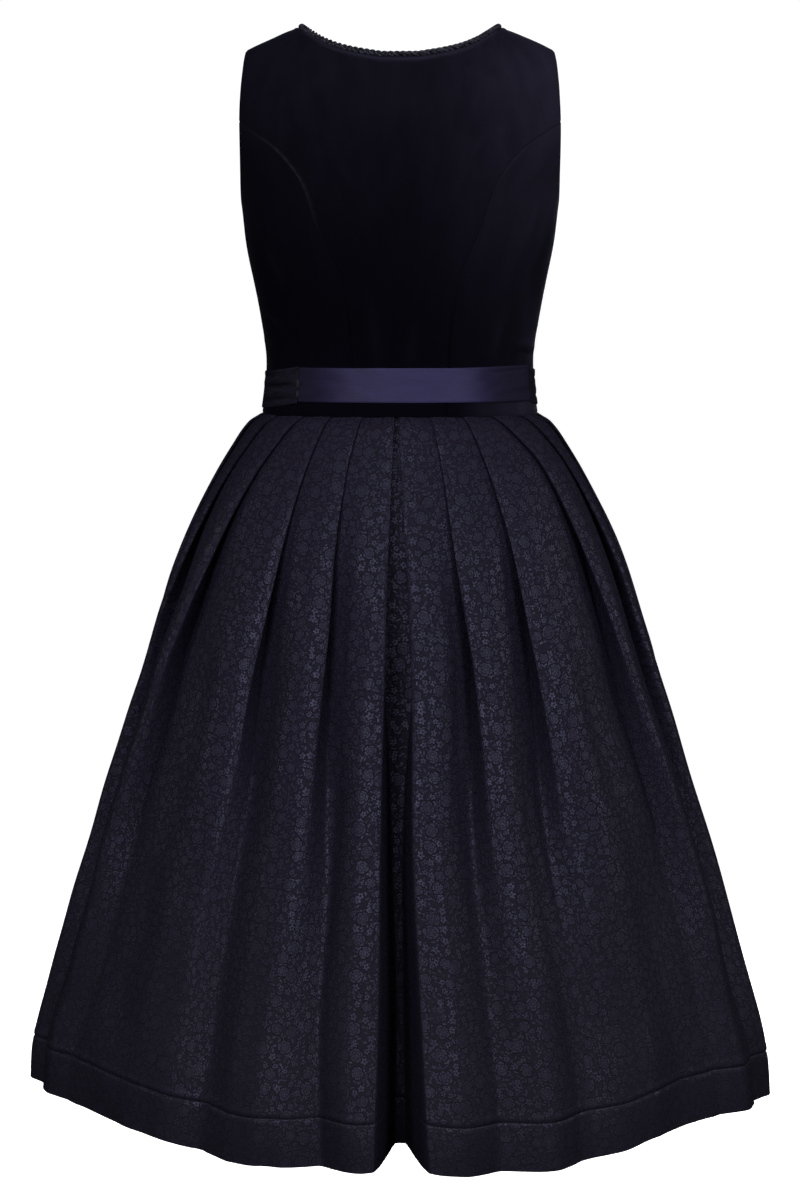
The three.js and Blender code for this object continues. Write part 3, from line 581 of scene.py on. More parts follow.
# ---- Velvet side fronts ----
# One panel on each side from the side seam to the front princess seam, under the arm and over the bust.
# Short drag creases run from the armhole and from the waist.
# Matched edges in front: row, neck and centre front x and z, armhole and princess seam x and z
FRONT_EDGES = [
    (0, NECK_X, NECK_Z, TIP_X, TIP_Z), (1, 91.4, 8.2, 140.8, -13.2), (2, 90.2, 4, 139.9, -17.4),
    (3, 88.3, -4, 138.3, -25.2), (4, 85.5, -16, 136.6, -37), (5, 81, -33, 134, -53),
    (6, 73.5, -53, 132.2, -70), (7, 61, -72, 131.5, -84), (8, 43, -87, 121, -104),
    (9, 22, -95.5, 109, -125), (10, 0, -98, 99, -148), (11, 0, -122, 92, -168), (12, 0, -152, 87, -190),
    (13, 0, -190, 79, -217), (14, 0, -226, 67, -244), (15, 0, -277, 53, -277), (16, 0, -298, 49, -298),
    (17, 0, -315, 47, -315), (18, 0, -332, 46, -332), (19, 0, WAIST, 45.5, WAIST),
]
FRONT_PRINCESS_ROW = 7  # where the princess seam starts on the armhole
NECK_ROW = 10  # where the neckline is lowest
FRONT_LAST_ROW = 19
in_x, out_x = curve(FRONT_EDGES, 1), curve(FRONT_EDGES, 3)
in_drop = curve([(row[0], (NECK_Z - row[2]) ** 0.5) for row in FRONT_EDGES])
out_drop = curve([(row[0], (TIP_Z - row[4]) ** 0.5) for row in FRONT_EDGES])
FRONT_SIDE = [ARMHOLE_LOW, -159, -171, -184, -196, -209, -225, -243, -277, -298, -315, -332, WAIST]
front_side_z = curve(list(enumerate(FRONT_SIDE, FRONT_PRINCESS_ROW)))


def in_z(row):
    return NECK_Z - in_drop(row) ** 2


def out_z(row):
    return TIP_Z - out_drop(row) ** 2


steps = even_steps(
    FRONT_PRINCESS_ROW, FRONT_LAST_ROW,
    lambda row: on_torso(out_x(row), out_z(row), False)[0],
    lambda row: round_torso(SIDE_SEAM, front_side_z(row))[0])
start = 180 - np.degrees(np.arcsin(out_x(steps) / torso_half(out_z(steps))))
shares = row_shares(np.radians(start - SIDE_SEAM) * 130, 46)
armhole_top = out_z(FRONT_PRINCESS_ROW)
armhole = mix(ARMHOLE_LOW, armhole_top, 1 - np.sqrt(1 - (1 - shares) ** 2))
sink = mix(armhole_top, ARMHOLE_LOW, shares) - armhole
z = mix(out_z(steps)[:, None], front_side_z(steps)[:, None], shares)
z -= sink * (1 - smooth((steps - FRONT_PRINCESS_ROW) / 7))[:, None]
angle = mix(start[:, None], SIDE_SEAM + 0.01, shares)
SIDE_FRONT_CREASES = {
    1: [
        (96, -160, 112, -176, 3, 0.9), (94, -278, 116, -284, 2.4, 0.9),
        (95, -288, 120, -292, 2, -0.8), (124, -246, 132, -290, 4, 0.6),
    ],
    -1: [
        (-96, -164, -114, -182, 3, 0.8), (-95, -284, -118, -280, 2.4, 1.0),
        (-96, -292, -124, -289, 2, -0.8), (-126, -240, -130, -286, 4, 0.7),
    ],
}
for side, letter in SIDES:
    points, normals = round_torso(side * angle, z)
    name = "bodice_side_front_" + letter
    sew_panel(name, points, normals, SIDE_SEWN, SIDE_FRONT_CREASES[side])

# ---- Velvet fronts ----
# Two panels from the shoulder seams to the waist, which meet edge to edge at the centre front.
# The scooped neckline and the armholes are rolled edges; the hooks behind the meeting edges that close them
# are not drawn.
steps = even_steps(
    0, FRONT_LAST_ROW,
    lambda row: on_torso(out_x(row), out_z(row), False)[0],
    lambda row: on_torso(in_x(row), in_z(row), False)[0])
shares = row_shares(out_x(steps) - in_x(steps), 48)
x = mix(in_x(steps)[:, None], out_x(steps)[:, None], shares)
straight = mix(in_z(steps)[:, None], out_z(steps)[:, None], shares)
drop = mix(NECK_Z - in_z(steps)[:, None], TIP_Z - out_z(steps)[:, None], shares)
z = mix(shoulder_height(x) - drop, straight, np.clip(steps / 4, 0, 1)[:, None])
by_neck = (steps < NECK_ROW)[:, None]
FRONT_SEWN = {
    "start": (steps > NECK_ROW)[:, None].astype(float),
    "end": (steps > FRONT_PRINCESS_ROW)[:, None].astype(float),
    "top": 1.0,
    "bottom": 1.0,
}
FRONT_CREASES = {
    1: [
        (176, -240, 177, -292, 3.5, 0.6), (170, -262, 166, -292, 2.6, -0.6),
        (150, -120, 168, -130, 8, 0.5), (160, -286, 176, -283, 2.2, 0.7),
    ],
    -1: [
        (-175, -246, -176, -294, 3.0, 0.7), (-168, -256, -163, -292, 2.8, -0.6),
        (-148, -116, -166, -128, 8, 0.5), (-158, -284, -174, -286, 2.2, 0.7),
    ],
}
for side, letter in SIDES:
    points, normals = on_torso(side * x, z, False)
    roll = np.where(by_neck, rolled_neck(points, "start", 0.8), 0)
    name = "bodice_front_" + letter
    sew_panel(name, points, normals, FRONT_SEWN, FRONT_CREASES[side], roll)

# ---- Neck cord ----
# A cord about 6 mm thick of three twisted strands, with light flecks painted on as its highlights, sewn along
# the whole neck edge.
# Its ends are joined under a shoulder.
CORD_POINTS = 1200
CORD_TURN = 17  # length of cord in one turn of the twist
STRANDS, STRAND_SIDES = 3, 7
STRAND_RADIUS = 1.45  # also how far each strand winds from the cord's middle
back_across = np.linspace(0, NECK_X, 200)
back_points, back_normals = on_torso(back_across, neck_height(back_across), True)
front_rows = np.linspace(0, NECK_ROW, 400)[1:]
front_points, front_normals = on_torso(in_x(front_rows), in_z(front_rows), False)


def whole_neck(behind, in_front):
    """One side's values, from the middle behind to the middle in front, carried on round the other side"""
    half = np.concatenate([behind, in_front])
    return np.concatenate([half, half[-2:0:-1] * np.array([-1, 1, 1])])


def resample(points, others):
    """Even steps round a closed line, with values carried along, and the line's length"""
    closed = walked(np.concatenate([points, points[:1]]))
    wanted = np.linspace(0, closed[-1], CORD_POINTS + 1)[:-1]

    def take(values):
        return np.stack([np.interp(wanted, closed, np.append(column, column[0])) for column in values.T], -1)

    return take(points), take(others), closed[-1]


def settle(values, width):
    """Running average round a closed line"""
    weights = {k: swell(k, width) for k in range(-3 * width, 3 * width + 1)}
    return sum(np.roll(values, k, axis=0) * weight for k, weight in weights.items()) / sum(weights.values())


def run_of(line, reach):
    """Direction of a closed line at each of its points"""
    return unit(np.roll(line, -reach, axis=0) - np.roll(line, reach, axis=0))


def beside(line, radius, angle, up, across):
    """Points at a radius round a line, at an angle from its upward direction"""
    angle = np.reshape(angle, (-1, 1))
    return line + radius * (np.cos(angle) * up + np.sin(angle) * across)


def thread_piece(name, points, faces, finish):
    """Object made of threads, their faces turned outwards"""
    mesh = bpy.data.meshes.new(name)
    mesh.from_pydata((np.concatenate(points) / 1000).tolist(), [], faces)
    mesh.materials.append(finish.material)
    piece = bpy.data.objects.new(name, mesh)
    bpy.context.collection.objects.link(piece)
    bpy.ops.object.select_all(action="DESELECT")
    bpy.context.view_layer.objects.active = piece
    piece.select_set(True)
    bpy.ops.object.mode_set(mode="EDIT")
    bpy.ops.mesh.select_all(action="SELECT")
    bpy.ops.mesh.normals_make_consistent(inside=False)
    bpy.ops.object.mode_set(mode="OBJECT")
    return piece


neck_edge, edge_normals = whole_neck(back_points, front_points), whole_neck(back_normals, front_normals)
neck_edge, edge_normals, _ = resample(neck_edge, edge_normals)
edge_normals = settle(edge_normals, 8)
away = unit(np.cross(settle(run_of(neck_edge, 4), 6), edge_normals))
# away from the cloth is up, or in towards the neck
outward = unit(neck_edge * np.array([1, 1, 0]))
away *= np.sign(away[:, 2] - 0.6 * np.sum(away * outward, -1))[:, None]
cord_middle = settle(neck_edge + away * 1.6 - edge_normals * 0.5, 3)
cord_middle, cord_up, cord_length = resample(cord_middle, edge_normals)
along = run_of(cord_middle, 1)
cord_up = unit(cord_up - along * np.sum(cord_up * along, -1, keepdims=True))
cord_across = np.cross(along, cord_up)
twist = np.arange(CORD_POINTS) / CORD_POINTS * round(cord_length / CORD_TURN) * 2 * np.pi
ring = np.arange(CORD_POINTS)
ring_on = (ring + 1) % CORD_POINTS
cord_vertices, cord_faces = [], []
for strand in range(STRANDS):
    lean = twist + strand * np.pi * 2 / STRANDS
    centre = beside(cord_middle, STRAND_RADIUS, lean, cord_up, cord_across)
    for k in range(STRAND_SIDES):
        turn = 2 * np.pi * k / STRAND_SIDES + lean
        cord_vertices.append(beside(centre, STRAND_RADIUS, turn, cord_up, cord_across))
        here = (strand * STRAND_SIDES + k) * CORD_POINTS
        there = (strand * STRAND_SIDES + (k + 1) % STRAND_SIDES) * CORD_POINTS
        cord_faces.append(np.stack([here + ring, there + ring, there + ring_on, here + ring_on], -1))
cord_yarn = Finish("cord_yarn")
cord_place = cord_yarn.worn_place()
# painted highlights: light flecks scattered over the yarn
cord_glint_speck = cord_yarn.noise(cord_place, 420.0, 2.0, 0.6).between(0.42, 0.6)
cord_yarn.set(
    Base_Color=cord_yarn.blend(cord_glint_speck, (0.0014, 0.0012, 0.0026), (0.0150, 0.0148, 0.0230)),
    Roughness=0.6,
    Specular_IOR_Level=0.06,
    Normal=cord_yarn.dents(cord_yarn.noise(cord_place, 1500.0, 2.0, 0.6), 0.0003, 0.7),
)
neck_cord = thread_piece("neck_cord_twisted", cord_vertices, np.concatenate(cord_faces).tolist(), cord_yarn)
bpy.ops.object.shade_smooth()
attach(neck_cord, "root")
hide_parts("neck_cord")

# ---- Belt ----
# A satin ribbon across the back, caught at its left end by two short bars of stitching, and a matte band
# of softer cloth that goes on round the sides and the front, drawn into low level creases.
BELT_LIFT = 1.4
BELT_WALL = 1.0
BELT_ROWS = 30


def belt_piece(name, turns, top, bottom, creases, finish):
    """Strip round the waist between two angles, lifted clear of the velvet"""
    shares = np.concatenate([[0, 0.015, 0.04], np.linspace(0.075, 0.925, BELT_ROWS - 6), [0.96, 0.985, 1]])
    z = mix(top(turns)[None, :], bottom(turns)[None, :], shares[:, None])
    wrapped = (turns + 180) % 360 - 180
    points, normals = round_torso(np.broadcast_to(wrapped, z.shape), z)
    fold = crease(points, creases)
    lift = BELT_LIFT + fold
    for edges, drop, reach in ((("top", "bottom"), 0.55, 1.3), (("start", "end"), 0.5, 2.2)):
        for edge in edges:
            lift -= drop * np.clip(1 - edge_distance(points, edge) / reach, 0, 1) ** 2
    worn = points + normals * lift[..., None]
    flat = np.stack([edge_distance(points, "start"), -edge_distance(points, "top")], -1)
    flat[..., 0] -= flat[..., 0].max() / 2
    # the fold mark takes the creases to the finishes, which paint shade in their troughs
    strip = lay_cloth(name, worn, flat, BELT_WALL, -1, [finish.material], {"fold": fold.clip(-1, 1)})
    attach(strip, "root")
    return strip


satin = Finish("satin")
satin_ribs = satin.noise(satin.cloth_map(26.0, 0.9), 1.0, 3.0, 0.7)
satin_cloud = satin.noise(satin.cloth_map(22.0, 9.0), 1.0, 2.0, 0.5)
satin_across, _, _ = satin.parts(satin.cloth_map())
# painted shade at the ribbon's ends, which also spreads their gloss
satin_shaded_ends = (satin_across * -1.0).between(38.0, 90.0).most(satin_across.between(55.0, 114.0))
# painted highlight across the ribbon's middle
satin_middle = (satin_across + 2.0) / 56.0
satin_painted_highlight = (1.0 - satin_middle * satin_middle).most(0.0)
satin_streaks = (satin_ribs * 0.7 + satin_cloud * 0.4).between(0.35, 0.75)
satin_highlight_colour = satin.blend(satin_ribs, (0.0088, 0.0075, 0.0250), (0.0165, 0.0147, 0.0420))
# the fold mark paints shade in the troughs of the creases
satin_colour = satin.coats(
    (0.0030, 0.0024, 0.0100),
    (satin_streaks, (0.0088, 0.0073, 0.0255)),
    (satin_painted_highlight * 0.75, satin_highlight_colour),
    (satin_shaded_ends * 0.85, (0.0021, 0.0017, 0.0040)),
    ((satin.mark("fold") * -0.8).most(0.0), (0.0010, 0.0008, 0.0020)))
satin.set(
    Base_Color=satin_colour,
    Roughness=satin_ribs * 0.1 + satin_shaded_ends * 0.36 + 0.5,
    Specular_IOR_Level=0.1,
    Specular_Tint=(0.72, 0.68, 1.0, 1),
    Anisotropic=0.7,
    Anisotropic_Rotation=0.25,
    Normal=satin.dents(satin_ribs, 0.0003, 0.35),
)
RIBBON_CREASES = [
    (47, -315, 30, -316.2, 1.6, 0.3), (47, -324, 33, -325, 1.6, 0.3),
    (-68, -301.8, -36, -304.8, 1.2, -0.65), (-66, -305.5, -42, -307.5, 1.6, 0.3),
    (-71, -321, -42, -325.5, 2.6, -0.5), (-71, -317, -46, -320, 2.2, 0.35),
    (-46, -313, -36, -325, 3, -0.35), (8, -309, -22, -310, 3.5, 0.2), (24, -320, -4, -321.5, 3.5, 0.2),
]


def ribbon_top(turns):
    """The ribbon narrows a little towards its right end"""
    return -300.4 + 1.4 * smooth((-turns - 20) / 40)


def ribbon_bottom(turns):
    return np.full_like(turns, -331.6)


belt_ribbon = belt_piece(
    "belt_back_ribbon_satin", np.linspace(-71.4, 47.7, 190), ribbon_top, ribbon_bottom,
    RIBBON_CREASES, satin)
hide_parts("belt_back_ribbon")

band = Finish("matte_band")
band_warp, band_weft = band.threads(0.9)
band_slub = band.noise(band.cloth_map(12.0, 1.6), 1.0, 3.0, 0.6)
# painted shade in the troughs of the band's creases
band_colour = band.coats(
    (0.0018, 0.0014, 0.0031),
    (band_slub.between(0.3, 0.72), (0.0048, 0.0042, 0.0076)),
    ((band.mark("fold") * -0.85).most(0.0), (0.0005, 0.0004, 0.0010)))
band.set(
    Base_Color=band_colour,
    Roughness=0.72,
    Specular_IOR_Level=0.02,
    Normal=band.dents(band_warp * band_weft * 0.3 + band_slub * 1.2, 0.0003, 0.6),
)
# Angle round the body, top and bottom
BAND_EDGE = [
    (47.8, -299.6, -333), (62, -302.6, -336.4), (78, -304.8, -338.8), (110, -305.2, -339.4),
    (180, -304, -338.4), (250, -304, -337.6), (280, -302.6, -335), (288.5, -301.2, -333),
]
BAND_CREASES = [
    (50, -316, 84, -318.5, 1.3, -1.1), (51, -312.6, 82, -314.5, 2, 0.8),
    (50, -327.5, 86, -331.5, 1.4, -1), (52, -323, 80, -326, 2.2, 0.8),
    (60, -306.5, 88, -309.5, 1.6, -0.7), (88, -311, 116, -313, 1.8, -1), (92, -321, 128, -322, 1.8, -1),
    (90, -316, 120, -317.5, 2.2, 0.9), (96, -331, 134, -329, 1.8, -0.9),
    (120, -309, 152, -310.5, 2, -0.8), (130, -317.5, 168, -319, 2.4, 0.9),
    (140, -324, 178, -325, 1.8, -0.9), (160, -312, 196, -311, 2, -0.9),
    (172, -331, 206, -332, 1.8, -0.7), (184, -319.5, 222, -317, 2.2, 0.8),
    (200, -325.5, 240, -324, 1.8, -1), (210, -310, 246, -312, 2, -0.8),
    (232, -318.5, 268, -319, 2.2, 0.8), (244, -330, 280, -327, 1.6, -0.9),
    (252, -312.5, 282, -310.5, 1.4, -0.8), (262, -323, 283, -320.5, 2, 0.4),
]
belt_band = belt_piece(
    "belt_front_band_cloth", np.linspace(47.95, 288.35, 330), curve(BAND_EDGE, 1), curve(BAND_EDGE, 2),
    BAND_CREASES, band)
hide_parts("belt_front_band")

# Two bars of stitching over the join at the ribbon's left end, each a few turns of thread
THREAD_POINTS, THREAD_SIDES, THREAD_RADIUS = 9, 6, 0.34
thread_bow = 1.5 + 0.35 * np.sin(np.linspace(0, np.pi, THREAD_POINTS)) ** 0.5
side_of = np.arange(THREAD_SIDES)
side_on = (side_of + 1) % THREAD_SIDES
bar_vertices, bar_faces = [], []
for high, low in ((-311.6, -319.0), (-321.8, -327.4)):
    for thread in range(3):
        z = np.linspace(high - 0.2 * thread, low + 0.15 * thread, THREAD_POINTS)
        point, normal = round_torso(np.full(THREAD_POINTS, 47.2 + 0.55 * thread), z)
        middle = point + normal * thread_bow[:, None]
        sideways = np.cross(normal, [0, 0, 1])
        turns = np.radians(side_of * 360 / THREAD_SIDES)
        base = len(bar_vertices) * THREAD_POINTS * THREAD_SIDES
        rings = [beside(middle, THREAD_RADIUS, turn, normal, sideways) for turn in turns]
        bar_vertices.append(np.stack(rings, 1).reshape(-1, 3))
        for i in range(THREAD_POINTS - 1):
            here = base + i * THREAD_SIDES
            there = here + THREAD_SIDES
            corners = [here + side_of, here + side_on, there + side_on, there + side_of]
            bar_faces += np.stack(corners, -1).tolist()
        last = base + (THREAD_POINTS - 1) * THREAD_SIDES
        bar_faces += [(base + side_of).tolist(), (last + side_of[::-1]).tolist()]
bar_thread = Finish("bar_thread")
bar_fleck = bar_thread.noise(bar_thread.worn_place(), 1500.0)
bar_thread.set(
    Base_Color=bar_thread.blend(bar_fleck, (0.0024, 0.0022, 0.0034), (0.0068, 0.0066, 0.0095)),
    Roughness=0.6,
    Specular_IOR_Level=0.1,
)
stitch_bars = thread_piece("belt_stitch_bars", bar_vertices, bar_faces, bar_thread)
bpy.ops.object.shade_smooth_by_angle(angle=np.radians(50))
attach(stitch_bars, "root")

# ---- Skirt back ----
# Small-floral jacquard pleated into the waist: an inverted box pleat in the middle of the back and knife
# pleats on each side that face it, pressed flat at the top and falling into open waves at the hem.
# The hem is turned up and held by a line of stitches.
SKIRT_TOP = -344
HEM = -987
HEM_DEPTH = 41.5  # the turned-up hem, below its row of stitches
SKIRT_WALL = 1.1
# Height, then half width over the folded edges
SKIRT_WIDTH = [
    (SKIRT_TOP, 130.6), (-351, 139.5), (-360, 146.8), (-369.5, 152.8), (-397, 169.6), (-425, 184.6),
    (-453, 197.7), (-481, 209), (-509, 219.4), (-537, 229.3), (-565, 239.3), (-593, 247.8), (-649, 265.9),
    (-706, 283.6), (-762, 299.9), (-819, 315.9), (-876, 330.4), (-934, 345.5), (-962, 350), (HEM, 351.5),
]
# Height, then half height of a pleat, overlap, depth of the box pleat, opening between its edges,
# how far its inner folds lie under, how freely the cloth hangs, and how round its folds are
PLEAT = [
    (SKIRT_TOP, 4.3, 33, 0.4, 4.5, 33, 0, 0.6),
    (-360, 4.4, 32, 4.5, 6.3, 31, 0.1, 0.7),
    (-397, 5.2, 28, 5.5, 10, 26, 0.5, 0.8),
    (-453, 7.7, 19, 9.5, 15, 18, 0.9, 1.1),
    (-520, 11.5, 10, 17, 20.5, 10, 1, 1.7),
    (-600, 13, 1, 30, 24, 2, 1, 2.6),
    (-700, 12.5, -9, 47, 26, -4, 1, 4.0),
    (-820, 11.5, -18, 66, 31, -8, 1, 5.2),
    (HEM, 10.5, -27, 90, 44, -12, 1, 6.2),
]
FOLD_HEIGHTS = [SKIRT_TOP, -390, -450, -620, HEM]
# Angles of the folded edges at those heights, then how strongly each stands out at the middle and the hem
FOLDS_LEFT = [
    ([15.5, 17.0, 17.0, 16.8, 17.2], 1.0, 1.05),
    ([29.3, 31.2, 32.0, 34.0, 36.5], 1.0, 0.75),
    ([43.2, 51.0, 56.0, 65.5, 70.5], 0.95, 0.35),
]
FOLDS_RIGHT = [
    ([12.6, 13.6, 14.1, 16.2, 20.0], 1.0, 1.1),
    ([26.5, 29.0, 30.3, 31.5, 34.5], 1.0, 0.5),
    ([41.0, 52.5, 55.6, 62.5, 66.0], 1.0, 0.7),
]
HIDDEN_FOLD = (0.95, 0.75)  # the same for the folds that follow at even spacing
FOLDS_A_SIDE = 9
FRONT_PANEL_SHARE = 1.8  # half of the plain panel in front, in fold spacings
HAIRPIN = 1.7  # height over which a folded edge turns back
# How far the hem hangs over its level line behind, across the wearer: uneven, as it hangs
HEM_BEHIND = [
    (-350, 3), (-300, 4), (-260, 4.6), (-230, 2.9), (-200, -4), (-165, -7), (-130, -8.5), (-77, -8.8),
    (-40, -5), (0, 1.5), (40, -3.2), (110, -3.2), (137, -4.2), (180, -1.1), (230, 7.3), (283, 13.3),
    (350, 17),
]
skirt_half = curve(SKIRT_WIDTH)
pleat_height, pleat_overlap, box_depth, box_gap, box_under, pleat_soft, fold_round = (
    curve(PLEAT, column) for column in range(1, 8))
hem_behind = curve(HEM_BEHIND)
# Part of the way across a pleat's face: height there, pressed flat and hanging free
FACE_KNOTS = ((0.13, 0.74, 1.0), (0.4, 0.2, 0.66), (0.72, -0.44, -0.2))
BOX_STEPS, FACE_STEPS, RETURN_STEPS = 6, 15, (2, 3, 3, 2)
FACE_SHARES = np.concatenate([
    np.linspace(0, 0.13, 4)[1:], np.linspace(0.13, 0.4, 5)[1:], np.linspace(0.4, 0.72, 5)[1:],
    np.linspace(0.72, 1, 5)[1:],
])
FOLDED = -1  # number of a return, where 0 is the box pleat's middle and the others are faces
RING_STEPS = 1440
turn_steps = np.linspace(-np.pi, np.pi, RING_STEPS + 1)


def skirt_ring(z):
    """Plan outline under the pleats: distance round from the middle of the back, place and direction"""
    low = np.clip((skirt_half(z) - skirt_half(SKIRT_TOP)) / 220, 0, 1)
    back = mix(88, 292, low) - pleat_height(z) * 0.8
    front = mix(104, 282, low) - pleat_height(z) * 0.8
    sine, cosine = np.sin(turn_steps), np.cos(turn_steps)
    x = (skirt_half(z) - pleat_height(z)) * sine
    y_back = back * cosine * (1 + mix(0.1, -0.42, low) * sine**2)
    y_front = front * cosine * (1 + mix(0.1, -0.28, low) * sine**2)
    y = np.where(cosine > 0, y_back, y_front)
    distance = np.concatenate([[0], np.cumsum(np.hypot(np.diff(x), np.diff(y)))])
    distance -= distance[-1] / 2
    index = np.arange(RING_STEPS + 1)
    ahead, behind = (index + 10) % RING_STEPS, (index - 10) % RING_STEPS
    run = unit(np.stack([x[ahead] - x[behind], y[ahead] - y[behind]], -1))
    out_x, out_y = -run[:, 1], run[:, 0]
    return {"distance": distance, "half": distance[-1], "x": x, "y": y, "out_x": out_x, "out_y": out_y}


def place_on(ring, path):
    """Places of a section's points, each so far round the outline and so far out from it"""
    x, y, out_x, out_y = (
        np.interp(path[:, 0], ring["distance"], ring[key]) for key in ("x", "y", "out_x", "out_y"))
    return np.stack([x + path[:, 1] * out_x, y + path[:, 1] * out_y], -1)


def angle_distance(ring, degrees):
    return np.interp(np.radians(degrees), turn_steps, ring["distance"])


def side_path(ring, z, folds):
    """Section through one side's pleats, from the middle of the back to the middle of the front"""
    edges = [0]
    for angles, _, _ in folds:
        edges.append(float(angle_distance(ring, curve(list(zip(FOLD_HEIGHTS, angles)))(z))))
    seen, hidden = len(folds), FOLDS_A_SIDE - len(folds)
    spacing = (ring["half"] - edges[-1]) / (hidden + FRONT_PANEL_SHARE)
    edges += [edges[seen] + k * spacing for k in range(1, hidden + 1)]
    height, under, soft, depth, gap, tucked = (
        float(value(z)) for value in (pleat_height, pleat_overlap, pleat_soft, box_depth, box_gap, box_under))
    half_gap = gap / 2
    inner = half_gap + tucked
    strength = [1.0]
    for middle, hem in [fold[1:] for fold in folds] + [HIDDEN_FOLD] * hidden:
        strength.append(float(curve([(SKIRT_TOP, 1), (-460, 1), (-640, middle), (HEM, hem)])(z)))
    high = [height * mix(1, 0.85, soft)] + [height * part * mix(1, 0.8, soft) for part in strength[1:]]
    path, face = [(0, -depth)], [0]

    def fold_back(end, low, start, top):
        """The hidden return of a pleat, from its inner fold to the next folded edge"""
        back, front = (end, low + HAIRPIN), (start, top - HAIRPIN)
        middle = (mix(back[0], front[0], 0.5), mix(back[1], front[1], 0.5))
        knots = [(end, low), back, middle, front, (start, top)]
        for a, b, count in zip(knots, knots[1:], RETURN_STEPS):
            path.extend((mix(a[0], b[0], k / count), mix(a[1], b[1], k / count)) for k in range(1, count + 1))
            face.extend([FOLDED] * count)

    path.extend((inner * k / BOX_STEPS, -depth) for k in range(1, BOX_STEPS + 1))
    face.extend([0] * BOX_STEPS)
    fold_back(inner, -depth, half_gap, high[0])
    for k in range(FOLDS_A_SIDE + 1):
        closing = k == FOLDS_A_SIDE
        start = edges[k] if k else half_gap
        end = ring["half"] if closing else edges[k + 1] + under
        low = height * 0.5 if closing else -height * strength[k + 1]
        peak = height * 0.9 if closing else height * strength[k]
        knots = [(0, high[k]), (1, low)]
        for share, flat, free in FACE_KNOTS:
            rise = (mix(flat, free, soft) + 1) / 2
            knots.append((share, mix(peak, low, share) if closing else mix(low, peak, rise)))
        path.extend(zip(mix(start, end, FACE_SHARES), curve(knots)(FACE_SHARES)))
        face.extend([k + 1] * FACE_STEPS)
        if not closing:
            fold_back(end, low, edges[k + 1], high[k + 1])
    return np.array(path), np.array(face)


# Soft ridges and troughs in the hanging cloth: angle and height at the top and at the bottom, width, lift.
# A height of -987 is the hem.
SKIRT_CREASES = [
    (10.5, -395, 11.5, -560, 5, 1.6), (16.5, -790, 19.5, -987, 11, -4), (7.5, -500, 8.5, -960, 9, 2.6),
    (12.5, -620, 12.8, -987, 7, -2.2), (22.5, -470, 26, -987, 9, 2.4),
    (28.5, -540, 31.5, -987, 8, -2.4), (39, -430, 44, -987, 12, 2.6), (47, -520, 52, -900, 10, -2.4),
    (58, -500, 61, -987, 11, 2.2), (76, -450, 79, -987, 10, 2.2), (84, -520, 87, -987, 11, -2.2),
    (97, -430, 98, -987, 12, 2.4), (110, -520, 113, -930, 10, -2), (124, -460, 125, -987, 12, 2.4),
    (140, -520, 142, -987, 12, -2.2), (155, -430, 157, -987, 13, 2.4), (168, -480, 171, -987, 12, -2.4),
    (-7, -520, -9.5, -980, 9, 2.4), (-11, -430, -12, -640, 5, -1.4), (-20.5, -420, -23, -987, 9, 2.4),
    (-25.5, -560, -28, -987, 8, -2.2), (-37, -440, -42, -987, 12, 2.8), (-45, -540, -50, -960, 9, -2.6),
    (-56, -620, -58, -987, 10, 2.2), (-72, -450, -75, -987, 9, 2.6), (-82, -520, -84, -987, 11, -2.2),
    (-94, -430, -96, -987, 12, 2.2), (-108, -540, -109, -960, 10, -2.2),
    (-121, -460, -123, -987, 12, 2.6), (-138, -500, -139, -987, 12, -2.2),
    (-152, -430, -155, -987, 13, 2.2), (-166, -520, -169, -987, 12, -2.2),
    (33, -395, 34.5, -470, 5, 1.2), (-33, -390, -34, -480, 5, 1.2), (24.6, -410, 25.4, -472, 2.6, -1.8),
    (-29, -388, -30.2, -422, 3, -1.6),
]


def soften(ring, z, path):
    """Rounds the folds of a section, then lifts and sways it as hanging cloth does"""
    run = walked(path)
    weights = np.exp(-(((run[:, None] - run[None, :]) / float(fold_round(z))) ** 2) / 2) * np.gradient(run)
    rounded = weights @ path / weights.sum(1, keepdims=True)
    path = mix(path, rounded, np.clip(np.minimum(run, run[-1] - run) / 12, 0, 1)[:, None])
    s, level = path[:, 0], path[:, 1].copy()
    for angle_a, z_a, angle_b, z_b, width, lift in SKIRT_CREASES:
        share = np.clip((z - z_a) / (z_b - z_a), 0, 1)
        strength = smooth((z_a + 30 - z) / 110) * smooth((z - z_b + 60) / 90 if z_b > HEM + 5 else 1.0)
        if strength > 0:
            level += lift * strength * swell(s - angle_distance(ring, mix(angle_a, angle_b, share)), width)
    # waves and sway grow from the hips down; no sway crosses the front seam, and the box pleat has its own
    free = float(smooth((-z - 370) / 200))
    waves = 1.3 * np.sin(s / 37 + z / 61) * np.sin(z / 83 + s / 140)
    level += free * (waves + 0.7 * np.sin(s / 15 - z / 44) * np.sin(z / 57 + 2))
    sway = free * (2.2 * np.sin(z / 71 + s / 90) + 1.2 * np.sin(z / 39 - s / 60))
    sway *= np.clip((ring["half"] - abs(s)) / 30, 0, 1)
    box_sway = mix(-0.5, 3.2, smooth((z + 900) / 180))
    sway = mix(sway, box_sway, swell(s, 15 - (z - SKIRT_TOP) * 0.03))
    # the turned-up hem: a row of stitches pulls in, and the cloth above it stands a little proud
    above = z - HEM
    level += 0.4 * swell(above - 46, 3.0) - 1.1 * swell(above - HEM_DEPTH, 1.3) + 0.35 * swell(above, 16)
    # the top edge is drawn in to the waist seam
    level -= 1.9 * smooth((z + 351) / 6)
    return np.stack([s + sway, level], -1)


def hem_lift(x, y, z):
    """How far the cloth hangs over its level line: all of it at the hem, fading out on the way up"""
    front = 17 * smooth((x - 120) / 230) + 3 * smooth((-x - 190) / 160)
    return smooth((z + 760) / (HEM + 760)) * mix(front, hem_behind(x), smooth((y + 60) / 120))


